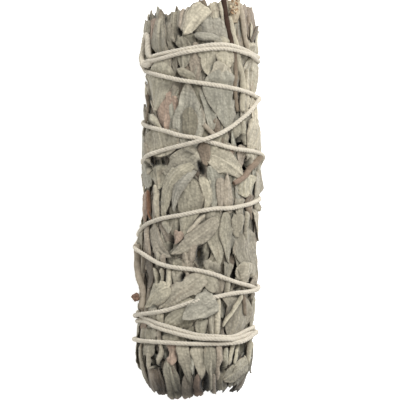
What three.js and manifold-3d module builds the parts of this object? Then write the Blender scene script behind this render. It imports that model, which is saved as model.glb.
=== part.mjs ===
// A dried white sage bundle of the kind sold for burning: long soft leaves and their woody stems, pressed
// together lengthwise, cut off at both ends and bound with one length of cotton twine that winds down the
// bundle and back up. It lies on its side. Millimetres, +Z up, +Y along the bundle, origin at the middle of
// its footprint on the surface it lies on.
import * as THREE from "three";
import { mergeVertices } from "three/addons/utils/BufferGeometryUtils.js";
import Module from "manifold-3d";

const wasm = await Module();
wasm.setup();

// Driving dimensions.
const HALF_LENGTH = 51; // half of the four inch bundle
const AXIS_HEIGHT = 14.1; // the centre line, above the surface
const SEEN_RADIUS = 15.4; // of the leaves whose places are given as seen from above
const CORE_RADIUS = 13.4; // the pressed middle, which the leaves stand out of
const CORE_HALF_LENGTH = 46.5;
const AXIS_OFFSET = 0.1; // of the centre line to the right, which centres the footprint
const PRESSED_RADIUS = 14.25; // leaves out to here are squeezed to the surface by the bundle's own weight
const PILE_LIMIT = 2.4; // leaves over the core are never piled higher than this
const BLADE_RISE = 0.55; // top of a single leaf above what it lies on
const BLADE_ROOT = 0.6; // how far its foot is sunk in the pressed middle
const TWINE_RADIUS = 0.6;
const TWINE_SUBSTEP = 1.65; // between the places where the leaves under the twine are felt
const TWINE_SUBSTEPS = 3; // of those for each station of the solid
const TWINE_LENGTH = 9; // stations in a length of twine, fewer than in one turn
const GROOVE_HEIGHT = 2.2; // up to here the twine is pressed in by what the bundle lies on
const TWINE_SEEN_RADIUS = 16.3; // of the turns whose places are given as seen from above
const CLEARANCE = 0.3; // between pieces that touch
const GRID = 0.002; // of the points of a finished solid
const SEED = 42;

const TAU = 2 * Math.PI;
const rad = THREE.MathUtils.degToRad;

// The leaves seen from above, lowest first. Each row: where the leaf starts (x, y), where it ends (x, y), its
// width, how far its midrib bows to the left of that line, and its form. A leaf narrows at both ends, a strip
// is folded or rolled up lengthwise, and cut forms start square at an end of the bundle.
const SEEN_LEAVES = [
  // the end with the stems
  [-14.3, 46.2, -14.4, 36.0, 3.4, 0.0, "cut"],
  [-12.5, 46.6, -12.3, 38.0, 2.2, 0.0, "cut"],
  [-6.9, 48.1, -6.8, 39.0, 3.8, 0.0, "cut"],
  [-3.9, 48.7, -4.7, 42.4, 1.3, 0.0, "cut strip"],
  [-2.5, 49.0, -4.1, 43.0, 1.5, 0.0, "cut strip"],
  [4.7, 50.4, 5.4, 45.2, 2.8, 0.0, "cut"],
  [4.5, 47.6, 4.4, 36.8, 7.8, 0.0, "leaf"],
  [2.2, 49.6, -3.4, 42.1, 4.8, -0.5, "cut"],
  [14.3, 49.4, 14.0, 40.5, 4.6, 0.0, "cut"],
  [15.3, 46.4, 15.0, 37.0, 3.6, 0.0, "leaf"],
  [-9.4, 47.2, -6.0, 31.6, 4.2, -0.5, "leaf"],
  [-10.4, 48.6, -10.3, 32.5, 6.4, 0.3, "leaf"],
  // between the first and second turns of twine
  [-11.0, 37.5, -8.7, 30.2, 5.8, 0.0, "leaf"],
  [-0.6, 40.2, -0.5, 29.4, 3.8, 0.2, "leaf"],
  [-3.8, 41.6, -3.8, 33.4, 3.8, 0.0, "leaf"],
  [2.2, 40.2, 2.6, 31.7, 4.4, 0.3, "leaf"],
  [7.2, 42.0, 7.4, 33.3, 5.4, 0.0, "leaf"],
  [7.2, 35.2, 4.4, 29.3, 5.4, 0.3, "leaf"],
  [14.6, 41.2, 15.0, 32.9, 4.8, 0.0, "leaf"],
  [14.4, 36.4, 15.6, 26.6, 4.8, 0.0, "leaf"],
  [13.2, 33.6, 13.6, 21.4, 2.1, 0.0, "strip"],
  // down to the crossing
  [-8.2, 28.6, -8.6, 17.0, 5.0, 0.0, "leaf"],
  [-9.4, 35.6, -10.6, 20.0, 7.4, -0.9, "leaf"],
  [1.3, 30.4, 3.9, 17.4, 3.4, 0.2, "leaf"],
  [-2.2, 12.6, -2.6, 29.7, 7.8, 0.2, "leaf"],
  [6.0, 34.0, 8.2, 17.8, 8.6, -0.5, "leaf"],
  [15.6, 27.6, 15.6, 17.4, 4.6, 0.0, "leaf"],
  [15.8, 20.6, 14.2, 10.0, 6.2, 0.2, "leaf"],
  // below the crossing
  [-9.9, 18.9, -9.6, 10.8, 7.6, 0.0, "leaf"],
  [-13.2, 14.6, -12.6, 8.3, 2.4, 0.0, "strip"],
  [1.5, 14.8, 2.2, 8.6, 3.2, 0.0, "leaf"],
  [3.4, 13.8, 4.9, 8.4, 2.6, 0.0, "strip"],
  [8.9, 14.7, 7.8, 9.6, 4.2, 0.0, "leaf"],
  [13.4, 13.0, 14.6, 8.2, 3.6, 0.0, "leaf"],
  [3.4, 9.3, 13.0, 7.8, 6.8, 0.4, "leaf"],
  [1.2, 13.2, -9.4, 6.6, 6.6, 0.7, "leaf"],
  [-11.0, 9.2, -10.4, 2.6, 4.2, 0.0, "leaf"],
  [-12.6, 10.8, -12.2, 6.4, 2.0, 0.0, "strip"],
  // the fan of long leaves
  [-1.7, 5.6, -4.2, -9.0, 7.2, 0.5, "leaf"],
  [2.2, 9.0, 4.0, -2.6, 3.2, 0.9, "leaf"],
  [0.9, 7.8, 2.5, -1.8, 2.4, 0.6, "leaf"],
  [0.0, 6.8, 1.0, -2.8, 2.2, 0.4, "strip"],
  [0.6, 9.0, -9.6, -4.8, 3.8, -2.9, "leaf"],
  [-11.2, 3.8, -10.9, -5.2, 2.2, 0.0, "strip"],
  [-14.3, 2.6, -14.4, -6.2, 2.8, 0.0, "leaf"],
  [5.9, 6.2, 6.0, -3.4, 2.8, 0.0, "leaf"],
  [7.7, 6.3, 8.6, -3.2, 2.7, 0.4, "leaf"],
  [15.8, 8.2, 15.8, -3.2, 3.2, 0.0, "leaf"],
  [11.4, 1.8, 11.4, -6.6, 3.0, 0.0, "leaf"],
  [14.0, 2.2, 14.0, -5.2, 2.6, 0.0, "leaf"],
  [12.4, 6.6, 12.6, 0.5, 5.8, 0.0, "leaf"],
  // the middle
  [15.2, -2.0, 15.2, -10.8, 2.6, 0.0, "leaf"],
  [10.4, -3.0, 10.6, -9.8, 2.6, 0.0, "leaf"],
  [12.7, -3.0, 12.8, -10.2, 2.2, 0.0, "strip"],
  [12.2, -7.2, 15.3, -20.6, 7.6, -0.8, "leaf"],
  [4.6, -3.4, 6.2, -16.8, 4.8, -0.3, "leaf"],
  [7.2, -3.2, 8.5, -16.0, 4.0, -0.4, "leaf"],
  [5.4, -5.1, -7.3, -14.0, 5.4, 0.7, "leaf"],
  [-12.6, -5.2, -6.5, -15.0, 4.6, -1.2, "leaf"],
  // between the lower two wide turns
  [-13.3, -14.0, -12.9, -23.0, 2.9, 0.0, "leaf"],
  [-4.9, -15.0, -5.2, -18.8, 3.4, 0.0, "leaf"],
  [-7.5, -16.6, -7.3, -23.6, 1.8, 0.0, "strip"],
  [-5.2, -17.2, -5.6, -22.2, 2.4, 0.0, "leaf"],
  [4.6, -15.4, 3.2, -20.2, 5.2, 0.0, "leaf"],
  [8.4, -15.6, 8.0, -20.4, 3.0, 0.0, "leaf"],
  [5.8, -18.6, 5.8, -25.6, 2.5, 0.0, "leaf"],
  [8.3, -19.4, 8.2, -25.4, 2.1, 0.0, "strip"],
  [12.8, -15.8, 12.5, -22.0, 4.4, 0.0, "leaf"],
  [2.2, -17.6, 4.6, -23.8, 4.6, 0.0, "leaf"],
  [3.4, -18.2, -10.4, -28.0, 5.6, 0.0, "leaf"],
  [-6.9, -22.2, -14.0, -27.4, 4.5, -0.6, "leaf"],
  // above the lower bindings
  [-12.0, -27.2, -12.2, -33.0, 3.0, 0.0, "leaf"],
  [-9.6, -28.4, -10.2, -32.0, 2.4, 0.0, "strip"],
  [3.9, -25.2, 4.0, -35.8, 1.9, 0.0, "strip"],
  [5.7, -24.8, 5.0, -35.8, 1.9, 0.0, "strip"],
  [1.4, -29.6, 1.0, -35.8, 3.2, 0.0, "leaf"],
  [14.9, -23.8, 14.8, -34.4, 2.4, 0.0, "leaf"],
  [12.6, -23.8, 9.0, -36.4, 8.6, 0.3, "leaf"],
  [-9.6, -33.4, 0.4, -27.0, 5.4, 0.3, "leaf"],
  [-5.6, -32.4, 4.7, -25.7, 6.2, -0.3, "leaf"],
  // the other end
  [-14.5, -31.8, -14.5, -41.4, 2.4, 0.0, "leaf"],
  [-12.4, -32.4, -12.3, -39.0, 2.8, 0.0, "leaf"],
  [-7.2, -33.2, -6.9, -38.4, 4.0, 0.0, "leaf"],
  [-10.6, -50.1, -10.8, -42.6, 2.6, 0.0, "cut"],
  [-12.1, -49.2, -12.9, -42.3, 2.4, 0.0, "cut"],
  [-14.0, -47.6, -14.7, -36.6, 1.7, 0.3, "cut strip"],
  [-6.2, -50.9, -7.6, -40.4, 3.8, 0.0, "cut"],
  [-6.4, -35.4, -6.5, -42.3, 2.8, 0.0, "leaf"],
  [-2.6, -50.8, -2.4, -44.2, 3.4, 0.0, "cut"],
  [0.3, -50.3, 0.4, -44.2, 2.6, 0.0, "cut"],
  [4.8, -49.6, 4.2, -44.4, 1.7, 0.0, "cut strip"],
  [0.0, -36.2, 1.3, -46.0, 4.4, 0.0, "leaf"],
  [3.6, -36.2, 3.4, -45.2, 4.0, 0.0, "leaf"],
  [-4.0, -34.4, -1.9, -46.8, 3.3, -0.3, "leaf"],
  [5.9, -35.8, 5.2, -46.2, 1.8, 0.0, "strip"],
  [7.6, -37.8, 6.4, -43.8, 1.8, 0.0, "strip"],
  [14.6, -35.8, 14.4, -44.8, 1.8, 0.0, "leaf"],
  [7.0, -49.0, 6.6, -42.8, 3.6, 0.0, "cut"],
  [9.9, -48.2, 9.6, -43.6, 3.0, 0.0, "cut"],
  [12.2, -47.4, 12.0, -42.2, 3.6, 0.0, "cut"],
];

// The cotton twine, turn by turn as it is wound: where each crosses the side that is seen, left to right.
// It runs down the bundle, is doubled near the lower end, comes back up and ends in a slip knot at the left.
const TWINE_TURNS = [
  [[-12.5, 36.6], [-5, 38.1], [0, 38.9], [5, 39.5], [10, 39.1], [16, 37.0]],
  [[-12.5, 35.5], [-5, 37.2], [0, 38.0], [5, 38.5], [10, 38.2], [16.3, 36.0]],
  [[-14, 32.8], [-10, 31.7], [-5, 30.5], [0, 29.8], [5, 29.1], [10, 28.3], [16.8, 26.4]],
  [[-14.8, 19.2], [-10, 17.9], [-5, 16.4], [0, 15.6], [5, 14.3], [10, 13.0], [16.8, 11.5]],
  [[-15.5, -13.2], [-12, -15.7], [-7, -17.2], [0, -18.0], [5, -19.2], [10, -20.9], [15.5, -22.8]],
  [[-15.5, -30.2], [-10, -31.9], [-5, -33.3], [0, -34.5], [5, -34.9], [10, -35.0], [15.3, -33.0]],
  [[-15.5, -31.2], [-10, -33.0], [-5, -34.3], [0, -35.3], [5, -35.5], [10, -35.6], [15, -34.3]],
  [[-15.5, -36.2], [-10, -36.4], [0, -36.8], [10, -36.5], [15, -34.5]],
  [[-15.5, -29.4], [-10, -28.6], [-5, -27.2], [0, -25.7], [4, -25.0], [10, -24.0], [15.5, -23.0]],
  [[-15, -6.6], [-10, -4.8], [-5, -4.0], [0, -3.1], [5, -2.3], [10, -2.1], [16.6, -0.3]],
  [[-14.5, 10.4], [-10, 12.5], [-5, 13.7], [0, 14.8], [5, 16.4], [10, 18.9], [16.8, 25.2]],
];
const KNOT_LOOP = [[-12.8, 35.6], [-14.1, 34.2], [-15.2, 36.5], [-15.3, 40.2], [-14.6, 42.6], [-13.5, 41.9],
  [-13.1, 38.8], [-13.4, 35.8], [-12.6, 36.2]];

// Woody stems and twigs that lie among the leaves where they are seen: the way each one runs and its radii.
const SEEN_STEMS = {
  dark_stem: { colour: "#6b5947", radii: [0.55, 0.45], sides: 6,
    path: [[7.3, 51.1], [7.9, 46], [8.6, 41.5], [10, 37], [10.1, 33], [9.7, 29], [11.0, 22.5]] },
  long_pale_stem: { colour: "#b3a084", radii: [1.0, 0.8, 0.7], sides: 7,
    path: [[9.5, 46.6], [9.8, 41], [11.2, 36], [12.2, 31], [12.2, 26], [12.1, 22.5]] },
  short_pale_stem: { colour: "#ab987c", radii: [0.7, 0.6], sides: 6,
    path: [[11.9, 50.0], [12.2, 45], [12.8, 40.5], [13.4, 37.5]] },
  forked_twig: { colour: "#80674f", radii: [1.1, 0.8, 0.6], sides: 7,
    path: [[16.2, 11.2], [14.3, 8.7], [12.7, 6.2], [9.4, 4.1]] },
  budded_stem: { colour: "#8f7a62", radii: [0.8, 0.8, 0.7], sides: 7, proud: 1.1,
    path: [[-15.1, -11.5], [-15.3, -17], [-15.1, -20], [-14.6, -23.5], [-14.5, -28.0]] },
  tan_twig: { colour: "#a88a63", radii: [0.6, 0.6], sides: 6, path: [[1.6, 19.2], [2.8, 17.9], [4.2, 16.6]] },
};
const STEM_SINK = 0.35; // share of a seen stem's radius that is sunk in the leaves
const BUD = { along: 0.8, beside: [-1.3, 0, -0.4], radius: 1.3 }; // on the budded stem

// The cut stem that stands out at the top, and the hollow that its soft pith has left.
const PITHY_STEM = {
  x: 9.8, y: [46.9, 51.0], above: 0.9, radius: [1.3, 1.5], pith: 0.75, pithDepth: 1.2, sides: 12,
};

// Stems inside, which run from one end of the bundle to the other: offset from the centre line at each end.
const INNER_STEMS = [
  { from: [-5.6, 4.6], to: [-6.8, 2.4], radius: 1.5, reach: [49.2, 48.6] },
  { from: [3.8, -4.4], to: [5.6, -2.0], radius: 1.8, reach: [50.1, 48.2] },
  { from: [-3.0, -6.2], to: [-1.6, -7.4], radius: 1.2, reach: [48.4, 49.6] },
  { from: [4.2, 5.2], to: [2.0, 5.8], radius: 1.1, reach: [50.4, 49.0] },
  { from: [-0.6, 0.4], to: [-1.2, -0.8], radius: 1.3, reach: [49.6, 49.2] },
];

// One small repeatable random generator, so that every build gives the same bundle.
function randomFrom(seed) {
  let state = seed;
  return () => {
    state = (state + 0x6d2b79f5) >>> 0;
    let t = state;
    t = Math.imul(t ^ (t >>> 15), t | 1);
    t ^= t + Math.imul(t ^ (t >>> 7), t | 61);
    return ((t ^ (t >>> 14)) >>> 0) / 4294967296;
  };
}

// The bundle isn't quite straight, and its pressed middle narrows a little towards the ends.
const axisX = (v) => AXIS_OFFSET + Math.sin((Math.PI * (v + 8)) / 70);
const coreRadius = (v) => CORE_RADIUS * (1 - 0.06 * Math.abs(v / HALF_LENGTH) ** 4);

// How much a radius shrinks where the bundle lies on its side.
function pressed(theta) {
  const down = -Math.sin(theta);
  return down > 0 ? Math.min(1, AXIS_HEIGHT / (down * PRESSED_RADIUS)) : 1;
}

const point = (theta, v, radius) =>
  new THREE.Vector3(axisX(v) + radius * Math.cos(theta), v, AXIS_HEIGHT + radius * Math.sin(theta));

// The angle round the bundle of a point seen from above, on leaves or twine of the given radius.
const angleAt = (x, y, radius) => Math.acos(THREE.MathUtils.clamp((x - axisX(y)) / radius, -0.985, 0.985));

// How high the leaves are piled over the core, on a grid round the bundle (u, at the seen radius) and along it
// (v).
const CELL = 0.5;
const COLUMNS = Math.round((TAU * SEEN_RADIUS) / CELL);
const ROWS = Math.round((2 * (HALF_LENGTH + 3)) / CELL);
const pile = new Float32Array(COLUMNS * ROWS);

function cellOf(u, v) {
  const column = ((Math.round(u / CELL) % COLUMNS) + COLUMNS) % COLUMNS;
  const row = THREE.MathUtils.clamp(Math.round((v + HALF_LENGTH + 3) / CELL), 0, ROWS - 1);
  return row * COLUMNS + column;
}

function highest(u, v, reach) {
  let most = 0;
  for (let du = -reach; du <= reach; du += CELL)
    for (let dv = -reach; dv <= reach; dv += CELL) most = Math.max(most, pile[cellOf(u + du, v + dv)]);
  return most;
}

function raisePile(u, v, height) {
  const cell = cellOf(u, v);
  pile[cell] = Math.max(pile[cell], height);
}

// A closed body from rings of points, each with as many points as the last.
function lofted(rings) {
  const count = rings[0].length;
  const position = rings.flat().flatMap((p) => [p.x, p.y, p.z]);
  const index = [];
  for (let r = 0; r + 1 < rings.length; r++)
    for (let i = 0; i < count; i++) {
      const [a, b] = [r * count + i, r * count + ((i + 1) % count)];
      index.push(a, b, a + count, b, b + count, a + count);
    }
  const last = (rings.length - 1) * count;
  for (let i = 1; i + 1 < count; i++) {
    index.push(0, i + 1, i);
    index.push(last, last + i, last + i + 1);
  }
  const geometry = new THREE.BufferGeometry();
  geometry.setAttribute("position", new THREE.Float32BufferAttribute(position, 3));
  geometry.setIndex(index);
  return geometry;
}

// A three.js geometry as a manifold-3d solid with its faces pointing out, and back.
function solidOf(geometry) {
  const bare = geometry.clone();
  bare.deleteAttribute("normal");
  bare.deleteAttribute("uv");
  const merged = mergeVertices(bare, 1e-4);
  const vertProperties = merged.attributes.position.array;
  const triVerts = new Uint32Array(merged.index.array);
  const made = new wasm.Manifold(new wasm.Mesh({ numProp: 3, vertProperties, triVerts }));
  if (made.volume() > 0) return made;
  triVerts.reverse();
  return new wasm.Manifold(new wasm.Mesh({ numProp: 3, vertProperties, triVerts }));
}

function geometryOf(solid) {
  const { vertProperties, triVerts } = solid.getMesh();
  const geometry = new THREE.BufferGeometry();
  geometry.setAttribute("position", new THREE.Float32BufferAttribute(vertProperties, 3));
  geometry.setIndex(new THREE.BufferAttribute(triVerts, 1));
  return geometry;
}

// The same surface with its points moved to a fine grid, so that none are almost together, and without the
// triangles that this leaves with no area or face to face with each other.
function onGrid(geometry) {
  const snapped = geometry.clone();
  const { array } = snapped.attributes.position;
  for (let i = 0; i < array.length; i++) array[i] = Math.round(array[i] / GRID) * GRID;
  const merged = mergeVertices(snapped, GRID / 4);
  const corners = merged.index.array;
  const faces = new Map();
  for (let i = 0; i < corners.length; i += 3) {
    const face = [corners[i], corners[i + 1], corners[i + 2]];
    if (new Set(face).size < 3) continue;
    const key = face.toSorted((a, b) => a - b).join();
    if (faces.has(key)) faces.delete(key);
    else faces.set(key, face);
  }
  merged.setIndex([...faces.values()].flat());
  merged.computeVertexNormals();
  return merged;
}

const joined = (solids) => solids.reduce((whole, next) => whole.add(next));
const biggest = (solid) => solid.decompose().reduce((a, b) => (a.volume() > b.volume() ? a : b));

// Forms of leaf: how the width goes along it, and the stations and lines across that it is built with.
const FORMS = {
  leaf: { outline: (s) => (4 * s * (1 - s)) ** 0.42, stations: [0.04, 0.34, 0.68, 0.96], across: [-1, 0, 1] },
  "small leaf": { outline: (s) => (4 * s * (1 - s)) ** 0.36, stations: [0.05, 0.5, 0.95], across: [-1, 1] },
  strip: { outline: (s) => (4 * s * (1 - s)) ** 0.22, stations: [0.03, 0.5, 0.97], across: [-1, 0, 1] },
  cut: { outline: (s) => (1 - s ** 3) ** 0.5, stations: [0, 0.5, 0.95], across: [-1, 1] },
  "cut strip": { outline: (s) => (1 - s ** 4) ** 0.4, stations: [0, 0.96], across: [-1, 0, 1] },
};
const SMALL_LEAF = 14; // shorter ones are built with fewer stations

// A value between those of a row that are evenly spread from 0 to 1.
function along(row, share) {
  const place = share * (row.length - 1);
  const low = Math.min(Math.floor(place), row.length - 2);
  return THREE.MathUtils.lerp(row[low], row[low + 1], place - low);
}

// One leaf, laid on the pile: it bridges the hollows under it, and the pile rises by it.
function layLeaf([u0, v0, u1, v1, width, bow, form]) {
  const length = Math.hypot(u1 - u0, v1 - v0);
  const { outline, stations, across } = FORMS[form === "leaf" && length < SMALL_LEAF ? "small leaf" : form];
  const strip = form.endsWith("strip");
  const place = (s, t) => {
    const off = 4 * s * (1 - s) * bow + (t * width * outline(s)) / 2;
    return [u0 + (u1 - u0) * s - ((v1 - v0) / length) * off, v0 + (v1 - v0) * s + ((u1 - u0) / length) * off];
  };
  const crown = strip ? 0.3 * width : 0.06 * width;
  const heights = stations.map((s) => {
    const beneath = across.map((t) => highest(...place(s, t), 1));
    const top = Math.max(...beneath);
    return beneath.map((h, j) => {
      const level = 0.65 * h + 0.35 * top + (across[j] === 0 ? crown : 0);
      return level + BLADE_RISE * (1 - level / PILE_LIMIT);
    });
  });
  const onPile = ([u, v], height) => {
    const theta = u / SEEN_RADIUS;
    return point(theta, v, (coreRadius(v) + height) * pressed(theta));
  };
  const foot = (spot, height) =>
    onPile(spot, Math.abs(spot[1]) > CORE_HALF_LENGTH ? height - BLADE_RISE - BLADE_ROOT : -BLADE_ROOT);
  const rings = stations.map((s, i) => {
    const spots = across.map((t) => place(s, t));
    const top = spots.map((spot, j) => onPile(spot, heights[i][j]));
    if (strip) return [...top, foot(spots[1], Math.min(...heights[i]))];
    return [...top, foot(spots.at(-1), heights[i].at(-1)), foot(spots[0], heights[i][0])];
  });
  for (let s = stations[0]; s <= stations.at(-1); s += CELL / (2 * length)) {
    const after = Math.max(1, stations.findIndex((station) => station >= s));
    const share = (s - stations[after - 1]) / (stations[after] - stations[after - 1]);
    const row = across.map((_, j) => THREE.MathUtils.lerp(heights[after - 1][j], heights[after][j], share));
    for (let t = -1; t <= 1; t += CELL / (2 * width)) raisePile(...place(s, t), along(row, (t + 1) / 2));
  }
  return solidOf(lofted(rings));
}

// The leaves seen from above. Their places round the bundle run from right to left, which turns the bow over.
const seenRows = () =>
  SEEN_LEAVES.map(([x0, y0, x1, y1, width, bow, form]) => {
    const [from, to] = [angleAt(x0, y0, SEEN_RADIUS), angleAt(x1, y1, SEEN_RADIUS)];
    return [from * SEEN_RADIUS, y0, to * SEEN_RADIUS, y1, width, -bow, form];
  });

// The rule that lays the rest round the sides and the underside.
function hiddenRows() {
  const random = randomFrom(SEED);
  const within = (low, high) => low + (high - low) * random();
  const [firstAngle, lastAngle] = [rad(166), rad(374)];
  const [lanes, perLane] = [6, 5];
  const rows = [];
  for (let k = 0; k < perLane; k++)
    for (let lane = 0; lane < lanes; lane++) {
      const u = SEEN_RADIUS * THREE.MathUtils.lerp(firstAngle, lastAngle, (lane + within(0.1, 0.9)) / lanes);
      const v = THREE.MathUtils.lerp(-44, 44, (((k * 2) % perLane) + within(0.1, 0.9)) / perLane);
      const narrow = random() < 0.25;
      const length = narrow ? within(9, 16) : within(14, 22);
      const lean = rad(within(-30, 30) * (random() < 0.2 ? 2.2 : 1));
      const [du, dv] = [(Math.sin(lean) * length) / 2, (Math.cos(lean) * length) / 2];
      const limit = HALF_LENGTH - within(2.0, 4.0);
      const [v0, v1] = [v - dv, v + dv].map((end) => THREE.MathUtils.clamp(end, -limit, limit));
      const width = narrow ? within(1.8, 3.0) : within(5.4, 8.6);
      rows.push([u - du, v0, u + du, v1, width, within(-1, 1), narrow ? "strip" : "leaf"]);
    }
  return rows;
}

// The pressed middle of the bundle, which all the leaves are rooted in.
function core() {
  const [stations, sides] = [9, 20];
  const rings = Array.from({ length: stations }, (_, k) => {
    const v = THREE.MathUtils.lerp(-CORE_HALF_LENGTH, CORE_HALF_LENGTH, k / (stations - 1));
    return Array.from({ length: sides }, (__, i) => {
      const theta = (TAU * i) / sides;
      return point(theta, v, coreRadius(v) * pressed(theta));
    });
  });
  return solidOf(lofted(rings));
}

// Leaf blades that stand out of a cut end edge on, pressed into nested folds round the middle.
function endLeaves(end) {
  const random = randomFrom(SEED + 10 + end);
  const within = (low, high) => low + (high - low) * random();
  const blades = [];
  for (const [radius, count] of [[4.4, 3], [8.1, 4], [11.8, 5]])
    for (let k = 0; k < count; k++) {
      const middle = (TAU * (k + within(0, 0.5))) / count + radius;
      const half = (Math.PI / count) * within(0.6, 0.85);
      const drift = within(-0.7, 0.7);
      const thick = within(0.7, 1.0);
      const tip = HALF_LENGTH - within(0.9, 3.6);
      const ring = (v, spread) => {
        const turns = [-1, 0, 1];
        const arc = (r) => turns.map((t) => {
          const theta = middle + t * half * spread;
          return point(theta, end * v, (r + drift * t) * pressed(theta));
        });
        return [...arc(radius + thick), ...arc(radius).reverse()];
      };
      blades.push(solidOf(lofted([ring(CORE_HALF_LENGTH - 1.5, 1), ring(tip, 0.8)])));
    }
  return blades;
}

// A tapering stalk along a curve.
function stalk(points, radii, sides, extra = 0) {
  const curve = new THREE.CatmullRomCurve3(points);
  const steps = Math.max(radii.length - 1, 2 * (points.length - 2));
  const { normals, binormals } = curve.computeFrenetFrames(steps);
  const rings = Array.from({ length: steps + 1 }, (_, k) => {
    const place = (k / steps) * (radii.length - 1);
    const low = Math.min(Math.floor(place), radii.length - 2);
    const radius = THREE.MathUtils.lerp(radii[low], radii[low + 1], place - low) + extra;
    const centre = curve.getPointAt(k / steps);
    return Array.from({ length: sides }, (__, i) => {
      const angle = (TAU * i) / sides;
      return centre.clone()
        .addScaledVector(normals[k], radius * Math.cos(angle))
        .addScaledVector(binormals[k], radius * Math.sin(angle));
    });
  });
  return solidOf(lofted(rings));
}

// The way a seen stem runs, sunk a little in the pile, which rises over it.
function stemPoints({ path, radii, proud = 0 }) {
  const radius = Math.max(...radii);
  return path.map(([x, y]) => {
    const theta = angleAt(x, y, SEEN_RADIUS);
    const height = highest(theta * SEEN_RADIUS, y, 0.5) - STEM_SINK * radius + proud;
    raisePile(theta * SEEN_RADIUS, y, height + radius);
    return point(theta, y, coreRadius(y) + height);
  });
}

// The whole way of the twine as angle and place along the bundle: every turn, and the way back under it.
function twineRoute() {
  const route = [];
  TWINE_TURNS.forEach((turn, k) => {
    const seen = turn.map(([x, y]) => [angleAt(x, y, TWINE_SEEN_RADIUS) - TAU * k, y]);
    route.push(...seen);
    const [fromAngle, fromY] = seen.at(-1);
    const next = TWINE_TURNS[k + 1];
    const [toX, toY] = next ? next[0] : KNOT_LOOP[0];
    const toAngle = angleAt(toX, toY, TWINE_SEEN_RADIUS) - TAU * (k + 1);
    for (const share of [0.2, 0.4, 0.6, 0.8])
      route.push([THREE.MathUtils.lerp(fromAngle, toAngle, share), THREE.MathUtils.lerp(fromY, toY, share)]);
  });
  const turns = TWINE_TURNS.length;
  return [...route, ...KNOT_LOOP.map(([x, y]) => [angleAt(x, y, TWINE_SEEN_RADIUS) - TAU * turns, y])];
}

// The twine pulled tight over the leaves: never below them, and straight where they leave a hollow.
function twineRings(section) {
  const unrolled = twineRoute().map(([angle, v]) => new THREE.Vector3(angle * SEEN_RADIUS, v, 0));
  const flat = new THREE.CatmullRomCurve3(unrolled);
  const count = TWINE_SUBSTEPS * Math.round(flat.getLength() / (TWINE_SUBSTEPS * TWINE_SUBSTEP));
  const places = flat.getSpacedPoints(count);
  const needed = places.map(({ x, y }) => coreRadius(y) + highest(x, y, 1) + 1.5 * CLEARANCE + TWINE_RADIUS);
  const radii = [...needed];
  const bend = Math.cos(TWINE_SUBSTEP / SEEN_RADIUS);
  for (let pass = 0; pass < 60; pass++)
    for (let k = 1; k < count; k++)
      radii[k] = Math.max(needed[k], (bend * (radii[k - 1] + radii[k + 1])) / 2);
  const stations = places.keys().filter((k) => k % TWINE_SUBSTEPS === 0);
  return [...stations].map((k) => {
    const theta = places[k].x / SEEN_RADIUS;
    const down = Math.max(1e-6, -Math.sin(theta));
    const radius = Math.min(radii[k], (AXIS_HEIGHT - TWINE_RADIUS - 0.1) / down);
    const before = places[Math.max(0, k - 1)];
    const after = places[Math.min(count, k + 1)];
    const slope = Math.atan2(after.y - before.y, after.x - before.x);
    return section.map(([side, out]) => {
      const turned = theta + (side * -Math.sin(slope)) / radius;
      return point(turned, places[k].y + side * Math.cos(slope), radius + out);
    });
  });
}

// Lengths of the cord that don't cross themselves, each starting where the last one ends, joined into one.
function cord(section) {
  const rings = twineRings(section);
  const lengths = [];
  for (let first = 0; first + 1 < rings.length; first += TWINE_LENGTH)
    lengths.push(solidOf(lofted(rings.slice(first, first + TWINE_LENGTH + 1))));
  return joined(lengths);
}

// The same way, but only its lengths on the side that the bundle lies on.
function underCord(section) {
  const lengths = [[]];
  for (const ring of twineRings(section)) {
    if (ring.some(({ z }) => z < GROOVE_HEIGHT)) lengths.at(-1).push(ring);
    else if (lengths.at(-1).length > 0) lengths.push([]);
  }
  return joined(lengths.filter((rings) => rings.length > 1).map((rings) => solidOf(lofted(rings))));
}

const roundSection = (radius, sides) =>
  Array.from({ length: sides }, (_, i) => {
    const angle = (TAU * (i + 0.5)) / sides;
    return [radius * Math.cos(angle), radius * Math.sin(angle)];
  });

// The groove that the twine presses in the leaves, open outwards.
function grooveSection() {
  const half = TWINE_RADIUS + CLEARANCE;
  return [[half, -half], [half, 3], [-half, 3], [-half, -half]];
}

function pithyStem(extra) {
  const { x, y, radius, above, pith, pithDepth, sides } = PITHY_STEM;
  const theta = angleAt(x, y[0], SEEN_RADIUS);
  const centre = y.map((v) => point(theta, v, coreRadius(v) + above));
  const body = stalk(centre, radius, sides, extra);
  if (extra > 0) return body;
  const way = centre[1].clone().sub(centre[0]).normalize();
  const hole = [-pithDepth, 1].map((depth) => centre[1].clone().addScaledVector(way, depth));
  return body.subtract(stalk(hole, [pith, pith], sides));
}

function innerStem({ from, to, radius, reach }, extra) {
  const at = ([dx, dz], v) => new THREE.Vector3(axisX(v) + dx, v, AXIS_HEIGHT + dz);
  const middle = [(from[0] + to[0]) / 2 + 0.6, (from[1] + to[1]) / 2 - 0.5];
  const points = [at(from, reach[0] + extra), at(middle, 0), at(to, -reach[1] - extra)];
  return stalk(points, [radius, radius * 0.9, radius], 8, extra);
}

// Everything in place: leaves, then the stems among them, then the twine over both.
const blades = [...hiddenRows(), ...seenRows()].map(layLeaf);
const stems = Object.entries(SEEN_STEMS).map(([name, stem]) => ({ name, stem, points: stemPoints(stem) }));

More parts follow.
